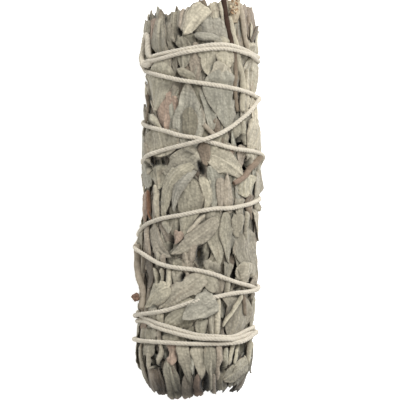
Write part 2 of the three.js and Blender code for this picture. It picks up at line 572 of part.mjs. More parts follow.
const pieces = stems.map(({ name, stem, points }) => {
  const build = (extra) => {
    const body = stalk(points, stem.radii, stem.sides, extra);
    if (name !== "budded_stem") return body;
    const centre = new THREE.CatmullRomCurve3(points).getPointAt(BUD.along).toArray();
    const bud = new THREE.IcosahedronGeometry(BUD.radius + extra, 1);
    return body.add(solidOf(bud.translate(...centre).translate(...BUD.beside)));
  };
  return { name, colour: stem.colour, roughness: 0.85, solid: build(0), room: build(CLEARANCE) };
});
const [pithy, pithyRoom] = [pithyStem(0), pithyStem(CLEARANCE)];
pieces.push({ name: "pithy_stem", colour: "#b9a68a", roughness: 0.8, solid: pithy, room: pithyRoom });
INNER_STEMS.forEach((stem, k) => {
  const [solid, room] = [innerStem(stem, 0), innerStem(stem, CLEARANCE)];
  pieces.push({ name: `inner_stem_${k + 1}`, colour: "#9a8468", roughness: 0.85, solid, room });
});

const binding = cord(roundSection(TWINE_RADIUS, 6));
const bindingRoom = cord(roundSection(TWINE_RADIUS + CLEARANCE, 6)).add(underCord(grooveSection()));
const surface = solidOf(new THREE.BoxGeometry(60, 140, 20).translate(0, 0, -10));
const leaves = [core(), ...endLeaves(1), ...endLeaves(-1), ...blades];
const rooms = joined([surface, bindingRoom, ...pieces.map(({ room }) => room)]);

const bundle = new THREE.Group();
function addPiece(name, solid, color, roughness) {
  const material = new THREE.MeshStandardMaterial({ color, roughness, metalness: 0 });
  const mesh = new THREE.Mesh(onGrid(geometryOf(solid)), material);
  mesh.name = name;
  bundle.add(mesh);
}
addPiece("leaf_bunch", biggest(joined(leaves).subtract(rooms)), "#a39c8a", 0.95);
addPiece("binding_twine", binding, "#d2c7b4", 0.9);
for (const [k, { name, solid, colour, roughness }] of pieces.entries()) {
  const earlier = pieces.slice(0, k).map(({ room }) => room);
  addPiece(name, biggest(solid.subtract(joined([surface, bindingRoom, ...earlier]))), colour, roughness);
}

export default bundle;
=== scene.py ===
import math

import bpy
import numpy as np
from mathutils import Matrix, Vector


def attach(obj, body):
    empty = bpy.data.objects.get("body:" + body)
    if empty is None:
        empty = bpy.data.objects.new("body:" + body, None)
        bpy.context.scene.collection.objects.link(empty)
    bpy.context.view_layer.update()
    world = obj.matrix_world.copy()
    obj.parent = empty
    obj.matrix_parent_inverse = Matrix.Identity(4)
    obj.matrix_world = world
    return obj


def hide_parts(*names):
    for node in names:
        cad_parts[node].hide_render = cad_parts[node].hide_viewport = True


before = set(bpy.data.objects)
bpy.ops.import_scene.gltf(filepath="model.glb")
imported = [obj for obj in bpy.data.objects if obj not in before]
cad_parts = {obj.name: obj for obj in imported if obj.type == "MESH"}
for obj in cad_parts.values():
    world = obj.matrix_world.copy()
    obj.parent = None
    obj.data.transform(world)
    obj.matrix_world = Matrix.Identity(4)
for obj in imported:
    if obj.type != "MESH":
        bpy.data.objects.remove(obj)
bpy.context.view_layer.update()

# The bundle, in millimetres, with the frame's axes: +Y along it, +Z up, seen from above.
MM = 0.001
HALF_LENGTH = 51.0
AXIS_HEIGHT = 14.1
AXIS_OFFSET = 0.1
SEEN_RADIUS = 15.4  # of the leaves seen from above; places round the bundle are in mm at this radius
BASE_RADIUS = 12.8  # of the pressed middle that the leaves are laid on
CAD_CORE_RADIUS = 13.4  # of the CAD model's middle, from which the thick stem's height is given
PRESSED_RADIUS = 14.25  # leaves out to here are squeezed to the surface by the bundle's own weight
PILE_LIMIT = 3.2  # how high leaves may be piled over the middle
UNDER_LIMIT = 1.3  # and the lowest ones
BLADE_THICKNESS = 0.22
BLADE_RISE = 0.4  # of each blade over what it is laid on
BLADE_STEP = 0.36  # of the mesh, in the leaves that are seen best
TWINE_RADIUS = 0.6
TWINE_SEEN_RADIUS = 16.3  # of the turns whose places are given as seen from above
TWINE_BITE = 0.75  # how far the twine sinks into the leaves
TWIST_LENGTH = 2.7  # of twine to one turn of its plies
FAR_ABOVE = 99.0  # a height that nothing reaches
SEED = 42  # of the CAD model, for the leaves round its sides and underside
SCENE_SEED = 11
TAU = 2 * math.pi


# Colours of the photographed materials, as sRGB hex, save dark, which is painted shade: the colour of leaves
# lying in shadow.
TONES = {
    "grey": "#a19a88",
    "blue": "#9c9889",
    "light": "#afa793",
    "olive": "#96907e",
    "moss": "#86806e",
    "tan": "#a19685",
    "pink": "#9f8b7a",
    "rose": "#a6917f",
    "brown": "#807362",
    # painted shade: the colour of leaves lying in shadow, given to some leaves as their tone
    "dark": "#655c4f",
    "russet": "#7c5b45",
    "bark": "#3b2a20",
    "wood": "#8a7768",
}

# How far the leaves reach at each end of the bundle, from left to right: x, and the distance from the middle.
UPPER_EDGE = [(-16, 43.5), (-14, 45.3), (-11, 47.6), (-2, 48.8), (2, 50.4), (8, 51.0), (12, 49.4), (16, 48.4)]
LOWER_EDGE = [(-16, 44.5), (-13.5, 48.2), (-10, 49.8), (-5, 50.4), (0, 50.0), (5, 49.4), (10, 47.6),
              (13.5, 45.8), (16, 41.5)]

# Hollows between the leaves that show the dark inside, from one end to the other: x, y and how wide. The
# leaves in them are also painted darker, as painted shade.
HOLLOWS = [
    (13.8, 46.0, 0.9), (-4.8, 42.7, 1.1), (-6.1, 39.2, 1.1), (9.9, 26.6, 1.0), (11.7, 15.4, 1.2),
    (13.3, 9.2, 1.3), (-12.3, 8.6, 1.1), (0.9, 8.0, 1.7), (-7.7, -11.0, 1.7), (0.6, -14.6, 2.3),
    (-14.2, -20.4, 1.1), (-10.1, -20.1, 1.1), (-4.2, -19.9, 1.1), (13.5, -20.1, 0.9),
    (11.3, -22.2, 1.2), (-8.2, -39.0, 1.0), (-11.2, -42.0, 1.5), (6.3, -42.9, 1.3), (2.2, -46.8, 2.1),
]
HOLLOW_DEPTH = 2.4

# The leaves seen from above, lowest first: start (x, y), end (x, y), width, how far the midrib bows to
# the left of the line between them, form and tone.
# The tone dark in these rows is painted shade, for leaves lying in shadow.
SEEN_LEAVES = [
    # the end with the stems
    (-14.3, 46.2, -14.4, 36.0, 3.4, 0.0, "cut", "grey"),
    (-12.5, 46.6, -12.3, 38.0, 2.2, 0.0, "cut", "pink"),
    (-6.9, 48.1, -6.8, 39.0, 3.8, 0.0, "cut", "olive"),
    (-5.0, 48.4, -5.1, 40.5, 1.3, 0.0, "cut strip", "grey"),
    (-3.9, 48.7, -4.7, 42.4, 1.3, 0.0, "cut strip", "tan"),
    (-2.5, 49.0, -4.1, 43.0, 1.5, 0.0, "cut strip", "grey"),
    (1.5, 50.9, 1.2, 45.8, 2.6, 0.0, "cut", "brown"),
    (-0.6, 50.2, -0.9, 46.8, 1.8, 0.0, "cut", "dark"),
    (4.7, 50.4, 5.4, 45.2, 2.8, 0.0, "cut", "light"),
    (6.3, 50.8, 8.0, 41.0, 1.3, 0.0, "cut strip", "light"),
    (-2.7, 43.2, -2.4, 35.0, 4.6, 0.0, "leaf", "olive"),
    (4.5, 47.6, 4.4, 36.8, 7.8, 0.0, "leaf", "blue"),
    (-0.9, 42.1, 6.8, 39.8, 2.2, 0.4, "strip", "blue"),
    (2.2, 49.6, -3.4, 42.1, 4.8, -0.5, "cut", "light"),
    (13.2, 48.9, 12.8, 42.5, 1.6, 0.0, "cut strip", "dark"),
    (14.7, 49.6, 14.0, 41.0, 5.2, 0.0, "cut", "brown"),
    (15.3, 46.4, 15.0, 37.0, 3.6, 0.0, "leaf", "light"),
    (14.0, 40.2, 16.4, 44.8, 1.2, 0.0, "strip", "dark"),
    (-9.4, 47.2, -6.0, 31.6, 4.2, -0.5, "leaf", "grey"),
    (-10.2, 31.0, -10.3, 48.8, 6.0, 0.3, "pointed", "grey"),
    # between the first and second turns of twine
    (-11.0, 37.5, -8.7, 30.2, 5.8, 0.0, "leaf", "olive"),
    (-0.6, 40.2, -0.5, 29.4, 3.8, 0.2, "leaf", "tan"),
    (-3.8, 41.6, -3.8, 33.4, 3.8, 0.0, "leaf", "grey"),
    (2.2, 40.2, 2.6, 31.7, 4.4, 0.3, "leaf", "light"),
    (8.4, 35.4, 8.0, 28.0, 3.6, 0.0, "leaf", "grey"),
    (7.2, 42.0, 7.4, 33.3, 5.4, 0.0, "leaf", "grey"),
    (7.2, 35.2, 4.4, 29.3, 5.4, 0.3, "leaf", "grey"),
    (-5.0, 33.2, -0.6, 30.4, 2.6, 0.0, "strip", "olive"),
    (14.6, 41.2, 15.0, 32.9, 4.8, 0.0, "leaf", "light"),
    (14.4, 36.4, 15.6, 26.6, 4.8, 0.0, "leaf", "light"),
    (13.2, 33.6, 13.6, 21.4, 2.1, 0.0, "strip", "light"),
    # down to the crossing
    (-8.4, 28.6, -8.9, 16.6, 5.2, 0.0, "leaf", "rose"),
    (-13.6, 27.0, -13.7, 18.4, 1.8, 0.0, "strip", "brown"),
    (-12.9, 25.4, -10.5, 18.3, 1.3, 0.5, "strip", "light"),
    (-12.2, 21.8, -9.4, 18.0, 2.2, 0.0, "strip", "grey"),
    (-9.4, 35.6, -11.0, 22.6, 7.2, -0.5, "pointed", "grey"),
    (4.8, 20.8, 5.5, 16.2, 2.4, 0.0, "strip", "brown"),
    (1.3, 30.4, 3.9, 17.4, 3.4, 0.2, "leaf", "blue"),
    (-2.2, 12.6, -2.6, 30.1, 8.8, 0.2, "pointed", "blue"),
    (-2.0, 23.6, -2.0, 15.6, 3.8, 0.0, "leaf", "moss"),
    (6.0, 34.0, 8.2, 17.8, 8.6, -0.5, "leaf", "blue"),
    (15.6, 27.6, 15.6, 17.4, 4.6, 0.0, "leaf", "light"),
    (12.2, 20.2, 12.7, 13.8, 1.6, 0.0, "strip", "grey"),
    (14.0, 20.8, 13.7, 16.6, 1.8, 0.0, "strip", "light"),
    (15.8, 20.6, 14.2, 10.0, 6.2, 0.2, "leaf", "light"),
    # below the crossing
    (-9.9, 18.9, -9.6, 10.8, 7.6, 0.0, "leaf", "grey"),
    (-13.2, 14.6, -12.6, 8.3, 2.4, 0.0, "strip", "olive"),
    (1.5, 14.8, 2.2, 8.6, 3.2, 0.0, "leaf", "brown"),
    (9.4, 14.7, 8.3, 10.2, 3.4, 0.0, "leaf", "grey"),
    (8.4, 12.9, 8.4, 10.7, 2.4, 0.0, "leaf", "pink"),
    (12.7, 14.0, 11.6, 8.0, 3.0, 0.0, "leaf", "tan"),
    (2.4, 11.8, 12.7, 5.6, 5.4, 0.4, "leaf", "light"),
    (13.4, 13.0, 14.6, 8.2, 3.6, 0.0, "leaf", "grey"),
    (1.2, 13.2, -9.4, 6.6, 6.6, 0.7, "leaf", "grey"),
    (-11.0, 9.2, -10.4, 2.6, 4.2, 0.0, "leaf", "olive"),
    (-12.6, 10.8, -12.2, 6.4, 2.0, 0.0, "strip", "grey"),
    # the fan of long leaves
    (-6.0, -0.6, -6.6, -9.4, 3.6, 0.0, "leaf", "olive"),
    (-1.7, 5.6, -4.0, -9.8, 7.6, 0.5, "pointed", "olive"),
    (-4.7, -8.0, -6.4, -11.4, 2.8, 0.0, "cut", "rose"),
    (3.0, 8.6, 4.2, -2.6, 3.0, 1.0, "leaf", "blue"),
    (1.3, 7.2, 2.0, -3.4, 3.6, 1.3, "leaf", "light"),
    (-0.2, 8.2, -6.4, -3.2, 3.1, -1.8, "leaf", "blue"),
    (-0.1, 9.6, -9.6, -4.8, 4.0, -2.9, "leaf", "light"),
    (-11.2, 3.8, -10.9, -5.2, 2.2, 0.0, "strip", "light"),
    (-14.4, 2.6, -14.5, -6.2, 2.6, 0.3, "leaf", "pink"),
    (-13.4, 2.4, -13.0, -5.6, 1.1, -0.4, "strip", "russet"),
    (5.9, 6.2, 6.0, -3.4, 2.8, 0.0, "leaf", "tan"),
    (8.6, -3.6, 7.4, 6.9, 2.9, 0.4, "pointed", "tan"),
    (15.8, 8.2, 15.8, -3.2, 3.2, 0.0, "leaf", "grey"),
    (11.4, 1.8, 11.4, -6.6, 3.0, 0.0, "leaf", "grey"),
    (14.0, 2.2, 14.0, -5.2, 2.6, 0.0, "leaf", "brown"),
    (12.4, 6.6, 12.6, 0.5, 5.8, 0.0, "leaf", "light"),
    # the middle
    (15.2, -2.0, 15.2, -10.8, 2.6, 0.0, "leaf", "grey"),
    (10.4, -3.0, 10.6, -9.8, 2.6, 0.0, "leaf", "olive"),
    (12.7, -3.0, 12.8, -10.2, 2.2, 0.0, "strip", "grey"),
    (12.2, -7.2, 15.0, -20.6, 6.4, -0.8, "leaf", "grey"),
    (4.6, -3.4, 6.2, -16.8, 4.8, -0.3, "leaf", "grey"),
    (7.2, -3.2, 8.5, -16.4, 4.0, -0.4, "pointed", "olive"),
    (-9.4, -4.6, -7.3, -8.6, 2.6, 0.0, "leaf", "grey"),
    (5.4, -5.1, -7.3, -14.0, 5.4, 0.7, "leaf", "grey"),
    (1.9, -3.8, -2.8, -8.5, 1.3, 0.0, "strip", "light"),
    (-12.6, -5.2, -6.9, -14.8, 3.8, -2.2, "leaf", "grey"),
    (-13.9, -6.0, -13.0, -14.6, 1.9, 0.0, "strip", "tan"),
    # between the lower two wide turns
    (-13.3, -14.0, -12.9, -23.0, 2.9, 0.0, "leaf", "dark"),
    (-10.6, -13.4, -10.9, -17.6, 1.5, 0.4, "strip", "grey"),
    (-8.9, -14.0, -8.6, -17.8, 1.5, -0.3, "strip", "tan"),
    (-4.9, -15.0, -5.2, -18.8, 3.4, 0.0, "leaf", "olive"),
    (-11.4, -17.4, -10.9, -22.6, 1.3, 0.5, "strip", "light"),
    (-9.3, -17.4, -9.2, -22.6, 1.5, -0.3, "strip", "grey"),
    (-7.5, -16.6, -7.3, -23.6, 1.8, 0.0, "strip", "light"),
    (-5.2, -17.2, -5.6, -22.2, 2.4, 0.0, "leaf", "grey"),
    (4.6, -15.4, 3.2, -20.2, 5.2, 0.0, "leaf", "grey"),
    (8.4, -15.6, 8.0, -20.4, 3.0, 0.0, "leaf", "olive"),
    (5.8, -18.6, 5.8, -25.6, 2.5, 0.0, "leaf", "tan"),
    (8.3, -19.4, 8.2, -25.4, 2.1, 0.0, "strip", "grey"),
    (12.8, -15.8, 12.5, -22.0, 4.4, 0.0, "leaf", "grey"),
    (3.6, -22.8, 2.2, -25.8, 3.4, 0.0, "leaf", "blue"),
    (2.2, -17.6, 4.6, -23.8, 4.6, 0.0, "leaf", "grey"),
    (3.4, -18.2, -10.4, -28.0, 5.6, 0.0, "leaf", "grey"),
    (-6.9, -22.2, -14.2, -27.8, 4.5, -0.6, "pointed", "light"),
    # above the lower bindings
    (15.1, -18.6, 15.1, -28.0, 3.6, 0.0, "leaf", "tan"),
    (15.1, -26.4, 15.0, -36.0, 3.6, 0.0, "leaf", "light"),
    (-12.0, -27.2, -12.2, -33.0, 3.0, 0.0, "leaf", "grey"),
    (-9.6, -28.4, -10.2, -32.0, 2.4, 0.0, "strip", "light"),
    (7.3, -24.8, 7.0, -30.4, 2.6, 0.0, "leaf", "grey"),
    (3.9, -25.2, 4.0, -35.8, 1.9, 0.0, "strip", "grey"),
    (5.7, -24.8, 5.0, -35.8, 1.9, 0.0, "strip", "light"),
    (1.4, -29.6, 1.0, -35.8, 3.2, 0.0, "leaf", "olive"),
    (14.9, -23.8, 14.8, -34.4, 2.4, 0.0, "leaf", "grey"),
    (12.6, -23.8, 9.0, -36.4, 8.0, 0.3, "leaf", "olive"),
    (12.0, -23.4, 12.3, -29.8, 1.4, 0.0, "strip", "brown"),
    (11.6, -24.2, 6.6, -32.6, 1.5, 0.0, "strip", "light"),
    (0.4, -27.4, -9.2, -33.2, 5.6, -0.3, "cut", "grey"),
    # the other end
    (-15.1, -28.6, -15.1, -37.6, 3.2, 0.0, "leaf", "pink"),
    (-15.1, -36.0, -14.8, -45.6, 3.2, 0.0, "leaf", "grey"),
    (-14.5, -31.8, -14.5, -41.4, 2.4, 0.0, "leaf", "grey"),
    (-12.4, -32.4, -12.3, -39.0, 2.8, 0.0, "leaf", "grey"),
    (-10.4, -33.0, -10.2, -37.8, 1.5, 0.0, "strip", "tan"),
    (-7.2, -33.2, -6.9, -38.4, 4.0, 0.0, "leaf", "grey"),
    (-10.6, -50.1, -10.8, -42.6, 2.6, 0.0, "cut", "brown"),
    (-12.1, -49.2, -12.9, -42.3, 2.4, 0.0, "cut", "tan"),
    (-14.0, -47.6, -14.7, -36.6, 1.7, 0.3, "cut strip", "grey"),
    (-12.7, -36.4, -12.2, -40.4, 2.6, 0.0, "leaf", "olive"),
    (-12.5, -39.2, -12.7, -43.4, 1.6, 0.0, "strip", "grey"),
    (-9.5, -36.6, -12.3, -43.5, 1.5, 1.3, "strip", "light"),
    (-6.2, -50.9, -7.6, -40.4, 3.6, 0.0, "cut", "grey"),
    (-6.4, -35.4, -6.5, -42.3, 2.8, 0.0, "leaf", "pink"),
    (-1.4, -38.3, -1.2, -44.8, 1.9, 0.0, "strip", "blue"),
    (-2.6, -50.8, -2.4, -43.6, 3.0, 0.0, "cut", "tan"),
    (0.3, -50.3, 0.4, -44.2, 2.6, 0.0, "cut", "wood"),
    (4.8, -49.6, 4.2, -44.4, 1.7, 0.0, "cut strip", "tan"),
    (0.0, -36.2, 1.3, -46.0, 4.4, 0.0, "leaf", "grey"),
    (3.6, -36.2, 3.4, -45.2, 4.0, 0.0, "leaf", "olive"),
    (-4.0, -34.4, -1.9, -46.8, 3.3, -0.3, "leaf", "grey"),
    (5.9, -35.8, 5.2, -46.2, 1.8, 0.0, "strip", "tan"),
    (7.6, -37.8, 6.4, -43.8, 1.8, 0.0, "strip", "grey"),
    (9.6, -36.2, 7.6, -42.2, 1.5, 0.0, "strip", "light"),
    (11.2, -36.2, 9.2, -42.2, 1.5, 0.0, "strip", "light"),
    (14.6, -35.8, 14.4, -44.8, 1.8, 0.0, "leaf", "grey"),
    (13.6, -35.6, 13.0, -42.6, 1.6, 0.0, "strip", "light"),
    (7.0, -48.8, 6.6, -42.8, 2.6, 0.4, "cut", "moss"),
    (9.9, -47.8, 9.4, -42.6, 2.2, -0.4, "cut", "olive"),
    (12.0, -47.2, 12.2, -41.4, 2.6, 0.0, "cut", "grey"),
    (13.0, -41.8, 6.6, -46.2, 3.2, 0.0, "cut", "grey"),
]

# The one leaf whose tip lies over a turn of the twine.
COVERING_LEAF = (4.3, -25.2, -3.9, -30.5, 5.6, 0.0, "cut", "blue")

# The twine, turn by turn as it is wound: where each crosses the side that is seen, left to right.
TWINE_TURNS = [
    [(-12.5, 36.6), (-5, 38.1), (0, 38.9), (5, 39.5), (10, 39.1), (16, 37.0)],
    [(-12.5, 35.5), (-5, 37.2), (0, 38.0), (5, 38.5), (10, 38.2), (16.3, 36.0)],
    [(-14, 32.8), (-10, 31.7), (-5, 30.5), (0, 29.8), (5, 29.1), (10, 28.3), (16.8, 26.4)],
    [(-14.8, 19.2), (-10, 17.9), (-5, 16.4), (0, 15.6), (5, 14.3), (10, 13.0), (16.8, 11.5)],
    [(-15.5, -13.2), (-12, -15.7), (-7, -17.2), (0, -18.0), (5, -19.2), (10, -20.9), (15.5, -22.8)],
    [(-15.5, -30.2), (-10, -31.9), (-5, -33.3), (0, -34.5), (5, -34.9), (10, -35.0), (15.3, -33.0)],
    [(-15.5, -31.2), (-10, -33.0), (-5, -34.3), (0, -35.3), (5, -35.5), (10, -35.6), (15, -34.3)],
    [(-15.5, -36.2), (-10, -36.4), (0, -36.8), (10, -36.5), (15, -34.5)],
    [(-15.5, -29.4), (-10, -28.6), (-5, -27.2), (0, -25.7), (4, -25.0), (10, -24.0), (15.5, -23.0)],
    [(-15, -6.6), (-10, -4.8), (-5, -4.0), (0, -3.1), (5, -2.3), (10, -2.1), (16.6, -0.3)],
    [(-14.5, 10.4), (-10, 12.5), (-5, 13.7), (0, 14.8), (5, 16.4), (10, 18.9), (16.8, 25.2)],
]
KNOT_LOOP = [
    (-12.8, 35.6), (-13.7, 34.4), (-14.7, 35.8), (-15.1, 38.5), (-15.2, 40.8), (-14.9, 42.2), (-14.3, 41.8),
    (-14.0, 39.0), (-13.8, 36.6), (-12.8, 36.2),
]

# Stems and twigs among the leaves: the way each one runs, its radii, how proud it stands and its tones.
SEEN_STEMS = {
    "dark_stem": ([(7.3, 51.1), (7.9, 46), (8.6, 41.5), (10, 37), (10.1, 33), (9.7, 29), (11.0, 22.5)],
                  (0.68, 0.5), 0.1, ("bark", "bark", "brown", "brown")),
    "long_pale_stem": ([(9.5, 46.6), (9.8, 41), (11.2, 36), (12.2, 31), (12.2, 26), (12.1, 22.5)],
                       (1.05, 0.85, 0.7), 0.35, ("light",)),
    "short_pale_stem": ([(11.9, 50.0), (12.2, 45), (12.8, 40.5), (13.4, 37.5)], (0.75, 0.6), 0.3, ("tan",)),
    "forked_twig": ([(16.2, 11.2), (14.3, 8.7), (12.7, 6.2), (9.4, 4.1)],
                    (1.15, 0.85, 0.6), 0.45, ("brown", "wood")),
    "budded_stem": ([(-15.1, -11.5), (-15.3, -17), (-15.1, -20), (-14.6, -23.5), (-14.5, -28.0)],
                    (0.85, 0.85, 0.75), 1.1, ("tan",)),
    "tan_twig": ([(1.6, 19.2), (2.8, 17.9), (4.2, 16.6)], (0.6, 0.6), 0.0, ("tan",)),
}
KNOT_LENGTH = 24.0  # of twine in the knot, where it lies slack
BUD_ALONG = 0.8  # of its stem's length
BUD_BESIDE = (-1.9, -0.6, 0.1)
BUD_RADIUS = 1.3
PITHY_STEM = {"x": 9.7, "y": (46.9, 51.0), "out": 14.1, "above": 0.9, "radii": (1.35, 1.6)}
# The stems inside: beside and above the centre line at each end, radius, and how far each end reaches.
INNER_STEMS = [
    ((-5.6, 4.6), (-6.8, 2.4), 1.5, (48.2, 48.6)),
    ((3.8, -4.4), (5.6, -2.0), 1.8, (50.1, 48.2)),
    ((-3.0, -6.2), (-1.6, -7.4), 1.2, (48.4, 49.6)),
    ((4.2, 5.2), (2.0, 5.8), 1.1, (50.4, 49.0)),
    ((-0.6, 0.4), (-1.2, -0.8), 1.3, (49.6, 49.2)),
]


def linear(hex_colour):
    """An sRGB hex colour as linear RGB."""
    parts = [int(hex_colour[k:k + 2], 16) / 255 for k in (1, 3, 5)]
    return np.array([c / 12.92 if c <= 0.04045 else ((c + 0.055) / 1.055) ** 2.4 for c in parts])


def random_from(seed):
    """The same small repeatable generator that the CAD model lays its hidden leaves with."""
    state = seed

    def draw():
        nonlocal state
        state = (state + 0x6D2B79F5) & 0xFFFFFFFF
        t = ((state ^ (state >> 15)) * (state | 1)) & 0xFFFFFFFF
        t ^= (t + (((t ^ (t >> 7)) * (t | 61)) & 0xFFFFFFFF)) & 0xFFFFFFFF
        return ((t ^ (t >> 14)) & 0xFFFFFFFF) / 4294967296

    return draw


rng = np.random.default_rng(SCENE_SEED)


# The shape of the bundle: where a place round it (u, mm at the seen radius) and along it (v) is in space.
def axis_x(v):
    return AXIS_OFFSET + np.sin(math.pi * (v + 8) / 70)


def taper(v):
    return 1 - 0.06 * np.abs(v / HALF_LENGTH) ** 4


def base_radius(v):
    return BASE_RADIUS * taper(v)


def low_end(v):
    """From 0 to 1 towards the end without stems, where the leaves bend down and are painted darker, as
    painted shade.
    """
    return np.clip((-v - 39) / 10, 0, 1)


def angle_at(x, y, radius):
    return math.acos(max(-0.985, min(0.985, (x - axis_x(y)) / radius)))


def place_round(x, y, radius=SEEN_RADIUS):
    """The place round the bundle of what is seen at (x, y) from above, that far out from the centre line."""
    return SEEN_RADIUS * angle_at(x, y, radius)


def unit(vectors):
    return vectors / np.linalg.norm(vectors, axis=-1, keepdims=True)


def running_total(steps):
    return np.concatenate([[0], np.cumsum(steps)])


def in_space(u, v, height):
    """Millimetre positions of points at a height over the pressed middle, squeezed where the bundle lies."""
    theta = u / SEEN_RADIUS
    down = np.maximum(-np.sin(theta), 1e-6)
    radius = (base_radius(v) + height) * np.minimum(1, AXIS_HEIGHT / (down * PRESSED_RADIUS))
    z = AXIS_HEIGHT + radius * np.sin(theta)
    rest = 0.35
    z = np.where(z < rest, rest * np.exp(np.minimum(z - rest, 0) / rest), z)
    return np.stack([axis_x(v) + radius * np.cos(theta), v + 0 * u, z], axis=-1)


class HeightMap:
    """A value at every place round the bundle and along it."""

    CELL = 0.3
    MARGIN = 3  # past each end of the bundle

    def __init__(self):
        self.columns = round(TAU * SEEN_RADIUS / self.CELL)
        self.rows = round(2 * (HALF_LENGTH + self.MARGIN) / self.CELL)
        self.values = np.zeros((self.rows, self.columns))

    def cell(self, u, v):
        row = np.clip(np.rint((v + HALF_LENGTH + self.MARGIN) / self.CELL).astype(int), 0, self.rows - 1)
        return row, np.rint(u / self.CELL).astype(int) % self.columns

    def at(self, u, v):
        return self.values[self.cell(u, v)]

    def highest(self, u, v, reach):
        most = self.at(u, v)
        for du in (-reach, 0, reach):
            for dv in (-reach, 0, reach):
                most = np.maximum(most, self.at(u + du, v + dv))
        return most

    def raise_to(self, u, v, height):
        row, column = self.cell(u, v)
        for dr in (-1, 0, 1):
            for dc in (-1, 0, 1):
                near = (np.clip(row + dr, 0, self.rows - 1), (column + dc) % self.columns)
                np.maximum.at(self.values, near, height)

    def blurred(self, reach):
        """The values averaged over a square of that half width, in millimetres."""
        out = HeightMap()
        out.values = self.values.copy()
        count = max(1, round(reach / self.CELL))
        for axis in (0, 1):
            total = np.zeros_like(out.values)
            for shift in range(-count, count + 1):
                total += np.roll(out.values, shift, axis)
            out.values = total / (2 * count + 1)
        return out

    def smooth_at(self, u, v):
        """Between the cells, so that nothing shows their steps."""
        across = u / self.CELL
        along = np.clip((v + HALF_LENGTH + self.MARGIN) / self.CELL, 0, self.rows - 1.001)
        column, row = np.floor(across).astype(int), np.floor(along).astype(int)
        right, up = across - column, along - row
        first, second = column % self.columns, (column + 1) % self.columns
        here, beyond = (self.values[line, first] * (1 - right) + self.values[line, second] * right
                        for line in (row, np.minimum(row + 1, self.rows - 1)))
        return here * (1 - up) + beyond * up


class Shell:
    """The vertices and faces of one piece, gathered from closed bodies."""

    def __init__(self):
        self.points, self.quads, self.tris, self.tones, self.blades = [], [], [], [], []
        self.count = 0

    def add(self, points, quads, tris, tones, blades):
        self.points.append(points)
        self.quads.append(quads + self.count)
        self.tris.append(tris + self.count)
        self.tones.append(np.broadcast_to(tones, (len(points), 3)))
        self.blades.append(np.broadcast_to(blades, (len(points), 3)))
        self.count += len(points)

    def piece(self, name, slot, nodes=()):
        """A Blender mesh of all that was gathered, riding on the bundle."""
        points = np.concatenate(self.points) * MM
        quads, tris = np.concatenate(self.quads), np.concatenate(self.tris)
        corners = np.concatenate([quads.reshape(-1), tris.reshape(-1)])
        sizes = np.concatenate([np.full(len(quads), 4), np.full(len(tris), 3)])
        mesh = bpy.data.meshes.new(name)
        mesh.vertices.add(len(points))
        mesh.vertices.foreach_set("co", points.astype(np.float32).reshape(-1))
        mesh.loops.add(len(corners))
        mesh.loops.foreach_set("vertex_index", corners.astype(np.int32))
        mesh.polygons.add(len(sizes))
        mesh.polygons.foreach_set("loop_start", running_total(sizes)[:-1].astype(np.int32))
        mesh.update(calc_edges=True)
        mesh.validate()
        mesh.polygons.foreach_set("use_smooth", np.full(len(sizes), True))
        tone = mesh.attributes.new("tone", "FLOAT_COLOR", "POINT")
        rgba = np.ones((len(points), 4))
        rgba[:, :3] = np.concatenate(self.tones)
        tone.data.foreach_set("color", rgba.astype(np.float32).reshape(-1))
        blade = mesh.attributes.new("blade", "FLOAT_VECTOR", "POINT")
        blade.data.foreach_set("vector", np.concatenate(self.blades).astype(np.float32).reshape(-1))
        mesh.materials.append(MATERIALS[slot])
        made = bpy.data.objects.new(name, mesh)
        bpy.context.scene.collection.objects.link(made)
        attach(made, "root")
        if nodes:
            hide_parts(*nodes)


NO_TRIS = np.zeros((0, 3), dtype=int)


def grid_quads(rows, columns, flip=False):
    r, c = np.meshgrid(np.arange(rows - 1), np.arange(columns - 1), indexing="ij")
    a = (r * columns + c).reshape(-1)
    quads = np.stack([a, a + 1, a + columns + 1, a + columns], axis=-1)
    return quads[:, ::-1] if flip else quads


def sheet_faces(rows, columns):
    """Faces of a sheet with an upper and a lower side, joined along its rim."""
    below = rows * columns
    rim = np.concatenate([
        np.arange(columns - 1), columns * np.arange(1, rows) - 1,
        below - 1 - np.arange(columns - 1), below - columns - columns * np.arange(rows - 1),
    ])
    after = np.roll(rim, -1)
    edge = np.stack([rim, rim + below, after + below, after], axis=-1)
    return np.concatenate([grid_quads(rows, columns), grid_quads(rows, columns, True) + below, edge])


# Leaves. Each is laid on those before it as a stiff sheet, then given its own creases and curl.
OUTLINES = {
    "leaf": lambda s, point: np.minimum(1, s / 0.28) ** 0.45 * (1 - s ** (1.9 / point)) ** point,
    "pointed": lambda s, point: np.minimum(1, s / 0.35) ** 0.4 * (1 - s ** 2) ** 0.85,
    "strip": lambda s, point: np.minimum(1, s / 0.2) ** 0.4 * (1 - s ** 6) ** point,
    "cut": lambda s, point: (1 - s ** 3) ** point,
    "cut strip": lambda s, point: (1 - s ** 4) ** 0.4,
}


def spread(values):
    """Each value averaged with its neighbours, as a stiff sheet spreads a bump."""
    padded = np.pad(values, 1, mode="edge")
    return (padded[:-2, 1:-1] + padded[2:, 1:-1] + padded[1:-1, :-2] + padded[1:-1, 2:] + values) / 5


def ripple(s, t, along, across):
    """Uneven waves over a blade, from a few random ones. along and across are how many fit in it."""
    total = 0
    for _ in range(4):
        ks, kt, phase = rng.normal(0, along), rng.normal(0, across), rng.uniform(0, TAU)
        total = total + np.sin(TAU * (ks * s + kt * t) + phase)
    return total / 4


def uneven(s, length):
    """How a crumpled edge wanders in and out along a blade: straight runs between a few corners."""
    corners = np.sort(rng.uniform(0, 1, max(3, round(length / 2.2))))
    return np.interp(s, corners, rng.uniform(0.76, 1.12, len(corners)))


